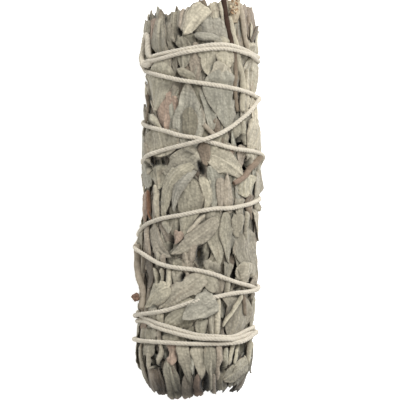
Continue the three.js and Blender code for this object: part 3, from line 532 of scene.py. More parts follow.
def creases(s, across, half, count):
    """Folds along a blade: steps, ridges and furrows, each of which starts and ends somewhere along it."""
    total = 0
    for _ in range(count):
        line = rng.uniform(-0.75, 0.75) * half + rng.normal(0, 0.9) * (s - 0.5)
        there = np.exp(-((s - rng.uniform(0.1, 0.9)) / rng.uniform(0.2, 0.6)) ** 2)
        kind = rng.random()
        if kind < 0.4:
            step = rng.choice([-1, 1]) * rng.uniform(0.1, 0.3)
            total = total + step * there * np.tanh((across - line) / 0.16)
        elif kind < 0.7:
            total = total + rng.uniform(-0.3, 0.3) * there * np.minimum(np.abs(across - line), 1.2)
        else:
            total = total - rng.uniform(0.14, 0.4) * there * np.exp(-((across - line) / 0.24) ** 2)
    return total


def tone_of(name, s, t, brown_tip):
    """The blade's colour, with its own small shift, paler or browner towards the rim and the tip."""
    own = linear(TONES[name]) * rng.normal(1, 0.07) * (1 + rng.normal(0, 0.006, 3))
    worn = linear(TONES["brown"])
    patch = np.clip(ripple(s, t, 1.5, 0.8) - 0.35, 0, 1) * 1.3
    rim = np.clip(np.abs(t) - 0.82, 0, 1) / 0.18 * rng.uniform(0, 0.5)
    tip = np.clip(s - 0.82, 0, 1) / 0.18 * brown_tip
    share = np.clip(patch * rng.uniform(0, 0.8) + rim + tip, 0, 0.85)[..., None]
    return own * (1 - share) + worn * share


class Leaf:
    """One blade: its points as place round, place along and height, for the upper side."""

    def __init__(self, row, pile, step, limit=PILE_LIMIT):
        u0, v0, u1, v1, width, bow, form, tone = row
        length = math.hypot(u1 - u0, v1 - v0)
        rows = max(7, math.ceil(length / step))
        columns = max(6, math.ceil(width / step))
        strip = form.endswith("strip")
        s, t = np.meshgrid(np.linspace(0.005, 0.995, rows), np.linspace(-1, 1, columns), indexing="ij")
        edges = np.where(t < 0, uneven(s, length), uneven(s, length))
        outline = np.maximum(OUTLINES[form](s, rng.uniform(0.5, 0.9)), 0.05)
        half = (1.05 if strip else 1.14) * width / 2 * outline * edges
        across = t * half
        bend = 4 * s * (1 - s) * bow + 0.25 * ripple(s, 0 * t, 0.8, 0)
        along = s * length
        if form.startswith("cut"):
            rounded = 0.35 * min(width, 2.4) * t ** 4
            along = along + np.exp(-along / 0.8) * (rounded - 0.5 * ripple(0 * s, t, 0, 1.2))
        du, dv = (u1 - u0) / length, (v1 - v0) / length
        self.u = u0 + du * along - dv * (bend + across)
        self.v = v0 + dv * along + du * (bend + across)
        below = pile.highest(self.u, self.v, 0.45)
        sheet = below
        for _ in range(12 if strip else 22):
            sheet = np.maximum(spread(sheet), below - 0.35)
        level = np.clip(sheet, 0, limit)
        crown = rng.uniform(0.25, 0.38) if strip else rng.uniform(-0.015, 0.06)
        arch = width * crown * (np.sqrt(np.clip(1 - t ** 2, 0, 1)) if strip else 1 - t ** 2)
        lift = 0
        if not strip:
            for side in (-1, 1):
                raised = rng.uniform(0.1, 0.6) if rng.random() < 0.5 else -rng.uniform(0.0, 0.15)
                wave = 0.65 + 0.7 * ripple(s, 0 * t, length / 8, 0)
                lift = lift + raised * wave * np.clip((side * t - 0.6) / 0.4, 0, 1) ** 1.6
            lift = lift + rng.uniform(-0.1, 0.5) * np.clip((s - 0.75) / 0.25, 0, 1) ** 2
        pleats = 0.14 * min(width / 5, 1) * ripple(0.6 * s, t, 0.5, 1.1)
        crease = creases(s, across, half, round(width / 2)) + 0.1 * ripple(s, t, length / 6, 0.7)
        rib = (0.16 if rng.random() < 0.5 else -0.16) * np.exp(-(across / 0.32) ** 2) * (not strip)
        rise = BLADE_RISE * np.clip((limit - level) / 1.0, 0.45, 1)
        if form == "leaf" and rng.random() < 0.8:
            rise = rise - rng.uniform(1.2, 2.2) * np.clip(1 - s / rng.uniform(0.12, 0.26), 0, 1) ** 1.3
        self.height = level + rise + arch + lift + pleats + crease + rib - 1.5 * low_end(self.v) ** 2
        self.rows, self.columns = rows, columns
        self.blade = np.stack([along, across, np.full_like(s, rng.uniform(0, 50))], axis=-1).reshape(-1, 3)
        own = tone_of(tone, s, t, rng.uniform(0, 0.8) if rng.random() < 0.3 else 0)
        # painted shade: the blades are painted darker towards the end without stems, where they bend down
        # away from the light
        self.tone = (own * (1 - 0.35 * low_end(self.v)[..., None])).reshape(-1, 3)
        pile.raise_to(self.u, self.v, level + rise + 0.55 * np.maximum(arch, 0))

    def add_to(self, shell, dent, roof, relief, hollow):
        """Both sides, with the twine's dents and the hollows, painted darker where it lies deep among others,
        in the hollows and on the lower side: painted shade.
        """
        pit = hollow.smooth_at(self.u, self.v)
        sunk = self.height - HOLLOW_DEPTH * pit
        height = np.minimum(sunk - dent.smooth_at(self.u, self.v), roof.smooth_at(self.u, self.v))
        # painted shade: darker the deeper the blade lies under the smoothed pile, and darker in the hollows
        deep = np.clip((relief.smooth_at(self.u, self.v) - sunk - 0.1) / 1.6, 0, 1)
        tone = self.tone * ((1 - 0.75 * deep) * (1 - 0.55 * pit)).reshape(-1, 1)
        self.tone_with_painted_shade = tone.reshape(self.rows, self.columns, 3)
        self.upper = in_space(self.u, self.v, height)
        upper = self.upper.reshape(-1, 3)
        lower = in_space(self.u, self.v, height - BLADE_THICKNESS).reshape(-1, 3)
        faces = sheet_faces(self.rows, self.columns)
        # painted shade: the lower side is 0.9 times as light as the upper
        shell.add(np.concatenate([upper, lower]), faces, NO_TRIS, np.concatenate([tone, tone * 0.9]),
                  np.concatenate([self.blade, self.blade]))


def seen_rows(leaves):
    """Their places round the bundle run from right to left, which turns the bow over. Those towards the sides
    are seen at a slant, so they are wider than they look."""
    rows = []
    for x0, y0, x1, y1, width, bow, form, tone in leaves:
        u0, u1 = place_round(x0, y0), place_round(x1, y1)
        if "strip" not in form:
            width = width / max(0.65, math.sin((u0 + u1) / 2 / SEEN_RADIUS))
        rows.append((u0, y0, u1, y1, width, -bow, form, tone))
    return rows


def leaf_ends(u, v, length, lean, limit):
    """Both ends of a leaf round its middle, leaning to one side and kept within the limit along."""
    du, dv = math.sin(lean) * length / 2, math.cos(lean) * length / 2
    v0, v1 = (min(max(end, -limit), limit) for end in (v - dv, v + dv))
    return u - du, v0, u + du, v1


def hidden_rows():
    """The leaves round the sides and the underside, by the CAD model's own rule."""
    draw = random_from(SEED)

    def within(low, high):
        return low + (high - low) * draw()

    first, last, lanes, per_lane = math.radians(166), math.radians(374), 6, 5
    rows = []
    for k in range(per_lane):
        for lane in range(lanes):
            u = SEEN_RADIUS * (first + (last - first) * (lane + within(0.1, 0.9)) / lanes)
            v = -44 + 88 * ((k * 2) % per_lane + within(0.1, 0.9)) / per_lane
            narrow = draw() < 0.25
            length = within(9, 16) if narrow else within(14, 22)
            lean = math.radians(within(-30, 30) * (2.2 if draw() < 0.2 else 1))
            ends = leaf_ends(u, v, length, lean, HALF_LENGTH - within(2.0, 4.0))
            width = within(1.8, 3.0) if narrow else within(5.4, 8.6)
            bow = within(-1, 1)
            tone = rng.choice(["grey", "blue", "light", "olive", "tan"], p=[0.35, 0.25, 0.15, 0.15, 0.1])
            rows.append((*ends, width, bow, "strip" if narrow else "leaf", tone))
    return rows


def filling_rows(count, first, last, widths, tones):
    """Leaves below the rest, so that no gap shows a bare middle."""
    rows = []
    for _ in range(count):
        u = SEEN_RADIUS * math.radians(rng.uniform(first, last))
        v = rng.uniform(-46, 46)
        length, width = rng.uniform(8, 18), rng.uniform(*widths)
        lean = math.radians(rng.normal(0, 20))
        ends = leaf_ends(u, v, length, lean, 49.5)
        form = "strip" if width < 2.6 else "leaf"
        rows.append((*ends, width, rng.normal(0, 0.6), form, rng.choice(tones)))
    return rows


def hollow_map():
    """From 0 beside a hollow to 1 in it. Hollows are longer along the bundle than they are wide. The map
    sinks the leaves and paints them darker, as painted shade.
    """
    out = HeightMap()
    row, column = np.indices(out.values.shape)
    u, v = column * out.CELL, row * out.CELL - HALF_LENGTH - out.MARGIN
    for x, y, width in HOLLOWS:
        du, dv = u - place_round(x, y), v - y
        lean = rng.normal(0, 0.25)
        far = np.hypot(du - lean * dv, 0.5 * dv) / (0.5 * width) + 0.25 * ripple(u / 3, v / 3, 0.5, 0.5)
        out.values = np.maximum(out.values, np.clip(2.0 * (1.25 - far), 0, 1))
    return out


def fringe_rows(count):
    """Short crumpled ends crowded together at the lower end."""
    edge = np.array(LOWER_EDGE)
    rows = []
    for x in rng.permutation(np.linspace(-14.6, 14.4, count)):
        u = place_round(x, -46)
        tip = rng.uniform(-0.2, 2.6) - np.interp(x, edge[:, 0], edge[:, 1])
        root = tip + rng.uniform(5, 9)
        tone = rng.choice(["grey", "olive", "moss", "tan", "brown"])
        form = "cut" if rng.random() < 0.6 else "cut strip"
        width = rng.uniform(1.6, 3.4) if form == "cut" else rng.uniform(1.0, 1.8)
        rows.append((u, tip, u + rng.normal(0, 1.2), root, width, rng.normal(0, 0.5), form, tone))
    return rows


# Stems.
def curve_through(points, step):
    """Even steps along a smooth curve through the points."""
    points = np.asarray(points, dtype=float)
    ends = np.concatenate([[2 * points[0] - points[1]], points, [2 * points[-1] - points[-2]]])
    out = []
    for k in range(len(points) - 1):
        p0, p1, p2, p3 = ends[k:k + 4]
        for t in np.linspace(0, 1, 24, endpoint=False):
            out.append(0.5 * (2 * p1 + (p2 - p0) * t + (2 * p0 - 5 * p1 + 4 * p2 - p3) * t ** 2
                              + (3 * p1 - p0 - 3 * p2 + p3) * t ** 3))
    out = np.array(out + [points[-1]])
    far = running_total(np.linalg.norm(np.diff(out, axis=0), axis=1))
    places = np.linspace(0, far[-1], max(3, round(far[-1] / step) + 1))
    return np.stack([np.interp(places, far, out[:, k]) for k in range(out.shape[1])], axis=-1)


def frames_along(centre):
    """Unit vectors along and across a curve. Those across don't spin about it."""
    way = unit(np.gradient(centre, axis=0))
    side = np.zeros_like(centre)
    current = np.array([0.0, 0.0, 1.0]) if abs(way[0][2]) < 0.9 else np.array([1.0, 0.0, 0.0])
    for k in range(len(centre)):
        current = unit(current - way[k] * np.dot(current, way[k]))
        side[k] = current
    return way, side, np.cross(way, side)


def tube(shell, centre, radius, sides, tone, hollow=0.0, grain=0.0, ragged=0.0):
    """A closed round body along a curve. radius is one value for each place, and tone can be one too; hollow
    sinks the cut ends, and ragged is how unevenly the last one is broken off."""
    way, side, other = frames_along(centre)
    angle = TAU * np.arange(sides) / sides
    ridge = 1 + grain * rng.normal(size=sides)
    ridge = ridge + grain * 0.5 * rng.normal(size=(len(centre), 1))
    r = np.asarray(radius)[:, None] * ridge
    ring = (centre[:, None, :] + side[:, None, :] * (r * np.cos(angle))[..., None]
            + other[:, None, :] * (r * np.sin(angle))[..., None])
    rows = len(centre)
    ring[-1] += way[-1] * ragged * rng.normal(size=(sides, 1))
    points = ring.reshape(-1, 3)
    a = (np.arange(rows - 1)[:, None] * sides + np.arange(sides)[None, :]).reshape(-1)
    b = (np.arange(rows - 1)[:, None] * sides + (np.arange(sides)[None, :] + 1) % sides).reshape(-1)
    quads = np.stack([a, b, b + sides, a + sides], axis=-1)
    lip_points, tris, lip_quads = [], [], []
    count = len(points)
    k = np.arange(sides)
    after = (k + 1) % sides
    for end, out in ((0, -1), (rows - 1, 1)):
        inner = centre[end] + (ring[end] - centre[end]) * 0.55 - way[end] * out * hollow
        middle = centre[end] - way[end] * out * hollow * 1.3
        first = count
        lip_points += [inner, middle[None, :]]
        lip = np.stack([end * sides + k, end * sides + after, first + after, first + k], axis=-1)
        fan = np.stack([first + k, first + after, np.full(sides, first + sides)], axis=-1)
        lip_quads.append(lip[:, ::-1] if out < 0 else lip)
        tris.append(fan[:, ::-1] if out < 0 else fan)
        count += sides + 1
    points = np.concatenate([points] + lip_points)
    pith = np.array([1.25, 1.22, 1.12])
    rings = np.broadcast_to(tone, (rows, 3))
    lips = [np.broadcast_to(rings[end] * pith, (sides + 1, 3)) for end in (0, rows - 1)]
    tones = np.concatenate([np.repeat(rings, sides, axis=0)] + lips)
    blades = np.zeros((len(points), 3))
    blades[:rows * sides, 0] = np.repeat(np.arange(rows) * 0.4, sides)
    blades[:rows * sides, 1] = np.tile(np.arange(sides) * 0.4, rows)
    shell.add(points, np.concatenate([quads] + lip_quads), np.concatenate(tris), tones, blades)


# Hairs.
HAIR_QUADS = np.array([(0, 1, 4, 3), (1, 2, 5, 4), (2, 0, 3, 5)])
HAIR_TRIS = np.array([(2, 1, 0), (3, 4, 6), (4, 5, 6), (5, 3, 6)])


def add_hairs(name, roots, ways, lengths, radius, tone, slot):
    """Fine bent hairs, each a closed spike with its root in the surface."""
    count = len(roots)
    ways = unit(ways)
    side = unit(np.cross(ways, rng.normal(size=(count, 3))))
    other = np.cross(ways, side)
    turn = TAU * np.arange(3)[None, :, None] / 3
    ring = (side[:, None] * np.cos(turn) + other[:, None] * np.sin(turn)) * radius
    reach = ways * lengths[:, None]
    bend = side * lengths[:, None] * rng.uniform(-0.5, 0.5, (count, 1))
    foot = roots - 0.1 * ways
    middle = roots + 0.55 * reach + 0.3 * bend
    tip = roots + reach + bend
    points = np.concatenate([foot[:, None] + ring, middle[:, None] + 0.8 * ring, tip[:, None]], axis=1)
    first = 7 * np.arange(count)[:, None, None]
    tone = np.repeat(np.broadcast_to(tone, (count, 3)), 7, axis=0)
    shell = Shell()
    shell.add(points.reshape(-1, 3), (HAIR_QUADS + first).reshape(-1, 4), (HAIR_TRIS + first).reshape(-1, 3),
              tone, np.zeros(3))
    shell.piece(name, slot)


# The twine.
def twine_route():
    """The whole way as (place round, place along): every turn, and the way back under the bundle."""
    route = []
    for k, turn in enumerate(TWINE_TURNS):
        seen = [(angle_at(x, y, TWINE_SEEN_RADIUS) - TAU * k, y) for x, y in turn]
        route += seen
        to_x, to_y = TWINE_TURNS[k + 1][0] if k + 1 < len(TWINE_TURNS) else KNOT_LOOP[0]
        to_angle = angle_at(to_x, to_y, TWINE_SEEN_RADIUS) - TAU * (k + 1)
        from_angle, from_y = seen[-1]
        for share in (0.2, 0.4, 0.6, 0.8):
            route.append((from_angle + (to_angle - from_angle) * share, from_y + (to_y - from_y) * share))
    turns = len(TWINE_TURNS)
    route += [(angle_at(x, y, TWINE_SEEN_RADIUS) - TAU * turns, y) for x, y in KNOT_LOOP]
    return np.array([(angle * SEEN_RADIUS, y) for angle, y in route])


def tight_twine(pile):
    """The twine pulled tight over the leaves, each turn over those before it: places and heights."""
    step = 0.8
    way = curve_through(twine_route(), step)
    u, v = way[:, 0], way[:, 1]
    leaves = pile.highest(u, v, 0.6)
    passed = HeightMap()
    height = np.zeros(len(u))
    stretch = round(40 / step)  # 40 mm of twine, which is too short to cross itself
    bend = math.cos(step / SEEN_RADIUS)
    for first in range(0, len(u), stretch):
        part = slice(first, first + stretch)
        crossing = passed.highest(u[part], v[part], 0.3)
        height[part] = np.maximum(leaves[part] + TWINE_RADIUS - TWINE_BITE, crossing + 0.9 * TWINE_RADIUS)
        passed.raise_to(u[part], v[part], height[part] + 0.45 * TWINE_RADIUS)
    least = base_radius(v) + height
    radius = least.copy()
    for _ in range(200):
        radius[1:-1] = np.maximum(least[1:-1], bend * (radius[:-2] + radius[2:]) / 2)
    return u, v, radius - base_radius(v)


def dents(u, v, height, pile):
    """How far the leaves are pressed in along the twine, and how high they may reach there, as maps."""
    dent, roof = HeightMap(), HeightMap()
    limit = roof.values
    limit += FAR_ABOVE
    farthest = 3.0
    reach = round(farthest / dent.CELL)
    row, column = dent.cell(u, v)
    for dr in range(-reach, reach + 1):
        for dc in range(-reach, reach + 1):
            far = dent.CELL * math.hypot(dr, dc)
            if far > farthest:
                continue
            near = (np.clip(row + dr, 0, dent.rows - 1), (column + dc) % dent.columns)
            np.minimum.at(limit, near, height - 0.55 * TWINE_RADIUS + 0.28 * far ** 2)
    dent.values = np.clip(pile.values - limit, 0, 2.2)
    return dent.blurred(0.3), roof


def twine_strands(u, v, height):
    """Three plies laid round one another along the twine, and how far along each place is."""
    step = 0.28
    far = running_total(np.hypot(np.diff(u), np.diff(v)))
    places = np.arange(0, far[-1], step)
    centre = in_space(*(np.interp(places, far, values) for values in (u, v, height)))
    floor = TWINE_RADIUS + 0.05
    centre[:, 2] = np.maximum(centre[:, 2], floor)
    kernel = np.array([0.25, 0.5, 0.25])
    for _ in range(6):
        centre[1:-1] = np.stack([np.convolve(centre[:, k], kernel, "same")[1:-1] for k in range(3)], axis=-1)
    way, side, other = frames_along(centre)
    slack = 1 + 0.36 * np.clip((places - places[-1] + KNOT_LENGTH) / 3, 0, 1)
    strands = []
    for ply in range(3):
        turn = TAU * (places / TWIST_LENGTH + ply / 3)[:, None]
        loose = (slack * (0.25 + 0.02 * np.sin(places / 1.7 + ply)))[:, None]
        strands.append(centre + (side * np.cos(turn) + other * np.sin(turn)) * loose)
    return strands, places, slack


# Materials. One function adds a shader node with its settings, fixed values and links.
def shader(tree, kind, inputs=None, **settings):
    """A node that is given as an input's value is linked by its first output."""
    made = tree.nodes.new("ShaderNode" + kind)
    for name, value in settings.items():
        setattr(made, name, value)
    for name, value in (inputs or {}).items():
        if isinstance(value, bpy.types.Node):
            value = value.outputs[0]
        if isinstance(value, bpy.types.NodeSocket):
            tree.links.new(value, made.inputs[name])
        else:
            made.inputs[name].default_value = value
    return made


def new_material(name):
    material = bpy.data.materials.new(name)
    material.use_nodes = True
    material.node_tree.nodes.clear()
    return material, material.node_tree


def begin_material(name):
    """A material with the tone that its mesh carries, and the place on its blade, cord or stem. That is in
    millimetres, and on a stem only roughly."""
    material, tree = new_material(name)
    tone = shader(tree, "Attribute", attribute_name="tone")
    blade = shader(tree, "Attribute", attribute_name="blade")
    return material, tree, tone, blade.outputs["Vector"]


def finish_material(tree, tone, patterns, relief, strength, depth, roughness, sheen=0.0):
    """The tone, darker and lighter by each pattern, on a dull bumpy surface. A pattern is its value, the
    range of it that counts and the shades at both ends of that range."""
    shade = 1.0
    for pattern, low, high, low_shade, high_shade in patterns:
        part = shader(tree, "MapRange", {"Value": pattern, "From Min": low, "From Max": high,
                                         "To Min": low_shade, "To Max": high_shade})
        shade = shader(tree, "Math", {0: shade, 1: part}, operation="MULTIPLY")
    colour = shader(tree, "VectorMath", {0: tone, "Scale": shade}, operation="SCALE")
    bump = shader(tree, "Bump", {"Height": relief, "Strength": strength, "Distance": depth})
    surface = shader(tree, "BsdfPrincipled", {
        "Base Color": colour, "Normal": bump, "Roughness": roughness, "Specular IOR Level": 0.25,
        "Sheen Weight": sheen, "Sheen Roughness": 0.6,
    })
    shader(tree, "OutputMaterial", {"Surface": surface})


def dried_leaf_material():
    """Felted, pebbled blade with paler veins: soft grain and small cracks that catch the light, painted
    darker between the pebbles as painted shade. The grain is
    0.6 mm wide, the streaks 4.5 by 0.7 mm, the pebbles 0.7 mm and the blotches 3 mm."""
    material, tree, tone, where = begin_material("dried_white_sage_leaf")
    felt = shader(tree, "TexNoise", {"Vector": where, "Scale": 1.7, "Detail": 5.0, "Roughness": 0.7})
    lengthwise = shader(tree, "Mapping", {"Vector": where, "Scale": (0.22, 1.5, 1.0)})
    streaks = shader(tree, "TexNoise", {"Vector": lengthwise, "Scale": 1.0, "Detail": 3.0})
    pebbles = shader(tree, "TexVoronoi", {"Vector": where, "Scale": 1.35, "Randomness": 1.0})
    blotches = shader(tree, "TexNoise", {"Vector": where, "Scale": 0.35, "Detail": 3.0})
    split = shader(tree, "SeparateXYZ", {"Vector": where})
    side = shader(tree, "Math", {0: split.outputs["Y"]}, operation="ABSOLUTE")
    rib = shader(tree, "MapRange", {"Value": side, "From Min": 0.1, "From Max": 0.36,
                                    "To Min": 1.0, "To Max": 0.0})
    slant = shader(tree, "Math", {0: split.outputs["X"], 1: side}, operation="SUBTRACT")
    from_vein = shader(tree, "Math", {0: slant, 1: 2.4}, operation="PINGPONG")
    vein = shader(tree, "MapRange", {"Value": from_vein, "From Min": 0.0, "From Max": 0.3,
                                     "To Min": 0.45, "To Max": 0.0})
    veins = shader(tree, "Math", {0: rib, 1: vein}, operation="MAXIMUM")
    rough = shader(tree, "Math", {0: felt, 1: pebbles}, operation="SUBTRACT")
    raised = shader(tree, "Math", {0: veins, 1: 0.35, 2: rough}, operation="MULTIPLY_ADD")
    patterns = [
        (felt, 0.3, 0.7, 0.84, 1.12), (blotches, 0.3, 0.7, 0.86, 1.1), (streaks, 0.3, 0.7, 0.76, 1.17),
        # the pebbles' darkening towards their edges is painted shade in the cracks
        (pebbles, 0.25, 0.62, 1.05, 0.86), (veins, 0.0, 1.0, 1.0, 1.16),
    ]
    finish_material(tree, tone, patterns, raised, 1.0, 0.0002, 0.92, 0.15)
    return material


def cotton_material():
    """Undyed spun cotton: slanting fibres in each ply, dull and a little uneven in tone. The fibres are
    0.2 mm apart, coarser than real ones, so that they show."""
    material, tree, tone, where = begin_material("undyed_spun_cotton_twine")
    wave = shader(tree, "TexWave", {"Vector": where, "Scale": 3.4, "Distortion": 5.0, "Detail": 3.0,
                                    "Detail Scale": 1.6}, bands_direction="DIAGONAL")
    fibres = wave.outputs["Fac"]
    lint = shader(tree, "TexNoise", {"Vector": where, "Scale": 0.7, "Detail": 4.0})
    patterns = [(fibres, 0.0, 1.0, 0.86, 1.06), (lint, 0.3, 0.7, 0.88, 1.08)]
    finish_material(tree, tone, patterns, fibres, 0.5, 0.00015, 0.9, 0.25)
    return material


def stem_material():
    """Dried woody stem: lengthwise fibres of about 1.5 by 0.2 mm and darker specks of 1 mm over its skin."""
    material, tree, tone, where = begin_material("dried_sage_stem_bark")
    stretch = shader(tree, "Mapping", {"Vector": where, "Scale": (0.5, 3.0, 1.0)})
    fibres = shader(tree, "TexNoise", {"Vector": stretch, "Scale": 1.6, "Detail": 4.0})
    place = shader(tree, "TexCoord")
    specks = shader(tree, "TexNoise", {"Vector": place.outputs["Object"], "Scale": 900.0, "Detail": 3.0})
    patterns = [(fibres, 0.3, 0.7, 0.78, 1.15), (specks, 0.35, 0.65, 0.82, 1.08)]
    finish_material(tree, tone, patterns, fibres, 0.5, 0.0002, 0.85)
    return material


def backlit_sheet_material():
    """White acrylic sheet lit from below, as for product pictures: it swallows the bundle's shadow."""
    material, tree = new_material("backlit_white_acrylic")
    white = (*linear("#fbfbfa"), 1.0)
    surface = shader(tree, "BsdfPrincipled", {
        "Base Color": white, "Roughness": 0.9, "Emission Color": white, "Emission Strength": 0.6,
    })
    shader(tree, "OutputMaterial", {"Surface": surface})
    return material


# The material of each slot. Both kinds of stem have one, and their tones differ.
MATERIALS = {
    "dried_sage_leaf": dried_leaf_material(),
    "cotton_twine": cotton_material(),
    "sage_stem": stem_material(),
}
MATERIALS["dark_sage_stem"] = MATERIALS["sage_stem"]


# The leaves, laid in order: filling, then the sides and underside, then those seen from above.
pile = HeightMap()
# dark among the filling tones is painted shade for the lowest leaves
lower_rows = filling_rows(250, 0, 360, (2, 6), ["olive", "tan", "brown", "grey", "dark"])
middle_rows = filling_rows(120, 4, 176, (3, 7), ["grey", "olive", "blue", "tan", "moss"])
outer_rows = filling_rows(130, 160, 380, (2, 7), ["grey", "blue", "olive", "light", "tan"])
under = [Leaf(row, pile, 0.76, UNDER_LIMIT) for row in lower_rows + middle_rows]
outer = [Leaf(row, pile, 0.55, UNDER_LIMIT + 0.5) for row in outer_rows]
sides = [Leaf(row, pile, 0.42) for row in hidden_rows()]
fringe = [Leaf(row, pile, BLADE_STEP) for row in fringe_rows(34)]
seen = [Leaf(row, pile, BLADE_STEP) for row in seen_rows(SEEN_LEAVES)]
relief = pile.blurred(1.6)
hollow = hollow_map()


def stem_way(path, radii, proud):
    """The way of a seen stem over the leaves, which it sinks into a little."""
    radius = max(radii)
    u, v = curve_through([(place_round(x, y), y) for x, y in path], 0.5).T
    height = pile.highest(u, v, 0.4)
    for _ in range(12):
        height[1:-1] = (height[:-2] + 2 * height[1:-1] + height[2:]) / 4
    height = height - 0.35 * radius + proud
    pile.raise_to(u, v, height + 0.8 * radius)
    return u, v, height


ways = {name: stem_way(path, radii, proud) for name, (path, radii, proud, _) in SEEN_STEMS.items()}
twine_u, twine_v, twine_height = tight_twine(pile)
dent, roof = dents(twine_u, twine_v, twine_height, pile)

# Where the twine runs under the covering leaf, that leaf is laid on it as on another leaf.
TIP = {"across": 0.1, "half_width": 0.19, "y": -25.6, "half_length": 1.6}
across = np.cos(twine_u / SEEN_RADIUS)
under_tip = (np.abs(twine_v - TIP["y"]) < TIP["half_length"]) & (np.sin(twine_u / SEEN_RADIUS) > 0)
under_tip &= np.abs(across - TIP["across"]) < TIP["half_width"]
pile.raise_to(twine_u[under_tip], twine_v[under_tip], twine_height[under_tip] + 0.5 * TWINE_RADIUS)
covering = [Leaf(row, pile, BLADE_STEP, PILE_LIMIT + 2) for row in seen_rows([COVERING_LEAF])]


def add_leaves(name, leaves, nodes=(), pressed=dent, below=roof):
    shell = Shell()
    for leaf in leaves:
        leaf.add_to(shell, pressed, below, relief, hollow)
    shell.piece(name, "dried_sage_leaf", nodes)


def add_core():
    """The pressed middle, uneven and painted dark as painted shade, which shows only in the deepest gaps."""
    shell = Shell()
    rows, columns = 120, 64
    v = np.linspace(-45.5, 45.5, rows)
    centre = np.stack([axis_x(v), v, np.full(rows, AXIS_HEIGHT)], axis=-1)
    radius = base_radius(v) - 1.6 - 3.0 * np.clip(np.abs(v) - 43, 0, 3) / 3
    # its near-black brown is painted shade for the deepest gaps between the leaves
    tube(shell, centre, radius, columns, linear("#3f382b"), 0.0, 0.012)
    points = shell.points[0]
    points[:, 2] = np.maximum(points[:, 2], 0.8)
    shell.piece("leaf_bunch_middle", "dried_sage_leaf")


def end_sheet(shell, end, radius, middle, half, tip, tone):
    """A cut blade on edge at an end of the bundle, bent round the middle and wavy, tip short of the edge."""
    rows, columns = 12, max(8, round(half * radius * 2 / 0.45))
    s, t = np.meshgrid(np.linspace(0, 1, rows), np.linspace(-1, 1, columns), indexing="ij")
    theta = middle + t * half * (1 - 0.12 * s)
    wave = 0.55 * ripple(0.3 * s, t, 0.4, 0.9) + 0.12 * ripple(s, t, 1, 2.4)
    edge = np.array(UPPER_EDGE if end > 0 else LOWER_EDGE)
    reach = np.interp(radius * np.cos(theta), edge[:, 0], edge[:, 1]) - tip
    root = 40.0
    along = root + (reach - root) * s + s * 0.8 * ripple(0 * s, t, 0, 1.3)
    v = end * along
    r = radius + wave + s * rng.normal(0.1, 0.5) - 1.6 * low_end(v) ** 2 * (radius / 12)

    def at(r):
        down = np.maximum(-np.sin(theta), 1e-6)
        squeezed = r * np.minimum(1, (AXIS_HEIGHT - 0.5) / (down * PRESSED_RADIUS))
        return np.stack([axis_x(v) + squeezed * np.cos(theta), v, AXIS_HEIGHT + squeezed * np.sin(theta)],
                        axis=-1).reshape(-1, 3)

    # painted shade and light: darker towards the root inside the bundle and towards the end without stems,
    # and 1.15 times lighter against the shade at the ends
    colour = tone_of(tone, s, t, 0.5).reshape(-1, 3) * (0.7 + 0.3 * s.reshape(-1, 1))
    colour = colour * 1.15 * (1 - 0.3 * low_end(v).reshape(-1, 1))
    blade = np.stack([along - root, theta * radius, 0 * s + rng.uniform(0, 50)], axis=-1).reshape(-1, 3)
    faces = sheet_faces(rows, columns)
    if end < 0:
        faces = faces[:, ::-1]
    shell.add(np.concatenate([at(r + BLADE_THICKNESS), at(r)]), faces[:, ::-1], NO_TRIS,
              np.concatenate([colour, colour]), np.concatenate([blade, blade]))


def add_end_leaves(name, end):
    shell = Shell()
    # dark among these tones is painted shade
    tones = ["grey", "olive", "moss", "tan", "brown", "dark"]
    for radius in np.arange(1.4, 13.4, 0.8):
        count = max(2, round(radius * 0.8))
        for k in range(count):
            middle = TAU * (k + rng.uniform(0, 0.6)) / count + radius
            half = math.pi / count * rng.uniform(0.5, 1.25)
            tip = rng.uniform(0.3, 2.6) + 1.2 * (radius < 5)
            end_sheet(shell, end, radius + rng.normal(0, 0.3), middle, half, tip, rng.choice(tones))
    shell.piece(name, "dried_sage_leaf")


def add_leaf_hairs(leaves, per_leaf):
    """The pale down of the leaves, which shows along their rims."""
    roots, ways, tones = [], [], []
    for leaf in leaves:
        for rim, inner in ((0, 1), (-1, -2)):
            rows = rng.integers(0, leaf.rows, per_leaf)
            roots.append(leaf.upper[rows, rim])
            ways.append(leaf.upper[rows, rim] - leaf.upper[rows, inner])
            tones.append(leaf.tone_with_painted_shade[rows, rim])
    roots, ways, tones = np.concatenate(roots), np.concatenate(ways), np.concatenate(tones)
    ways = unit(ways) + rng.normal(0, 0.5, ways.shape)
    ways[:, 2] += 0.4
    clear = roots[:, 2] > 1.5
    lengths = rng.uniform(0.2, 0.5, len(roots))[clear]
    add_hairs("leaf_down", roots[clear], ways[clear], lengths, 0.02, tones[clear] * 1.1, "dried_sage_leaf")


add_leaves("leaf_bunch_lower", under, ("leaf_bunch",))
add_leaves("leaf_bunch_outer", outer)
add_leaves("leaf_bunch_sides", sides)
add_leaves("leaf_bunch_fringe", fringe)
flat, open_above = HeightMap(), HeightMap()
open_above.values += FAR_ABOVE
add_leaves("leaf_bunch_covering", covering, pressed=flat, below=open_above)
half_way = len(seen) // 2
add_leaves("leaf_bunch_top_upper", seen[:half_way])
add_leaves("leaf_bunch_top_lower", seen[half_way:])
add_core()
add_end_leaves("leaf_bunch_end_upper", 1)
add_end_leaves("leaf_bunch_end_lower", -1)
add_leaf_hairs(outer + sides + fringe + seen + covering, 12)


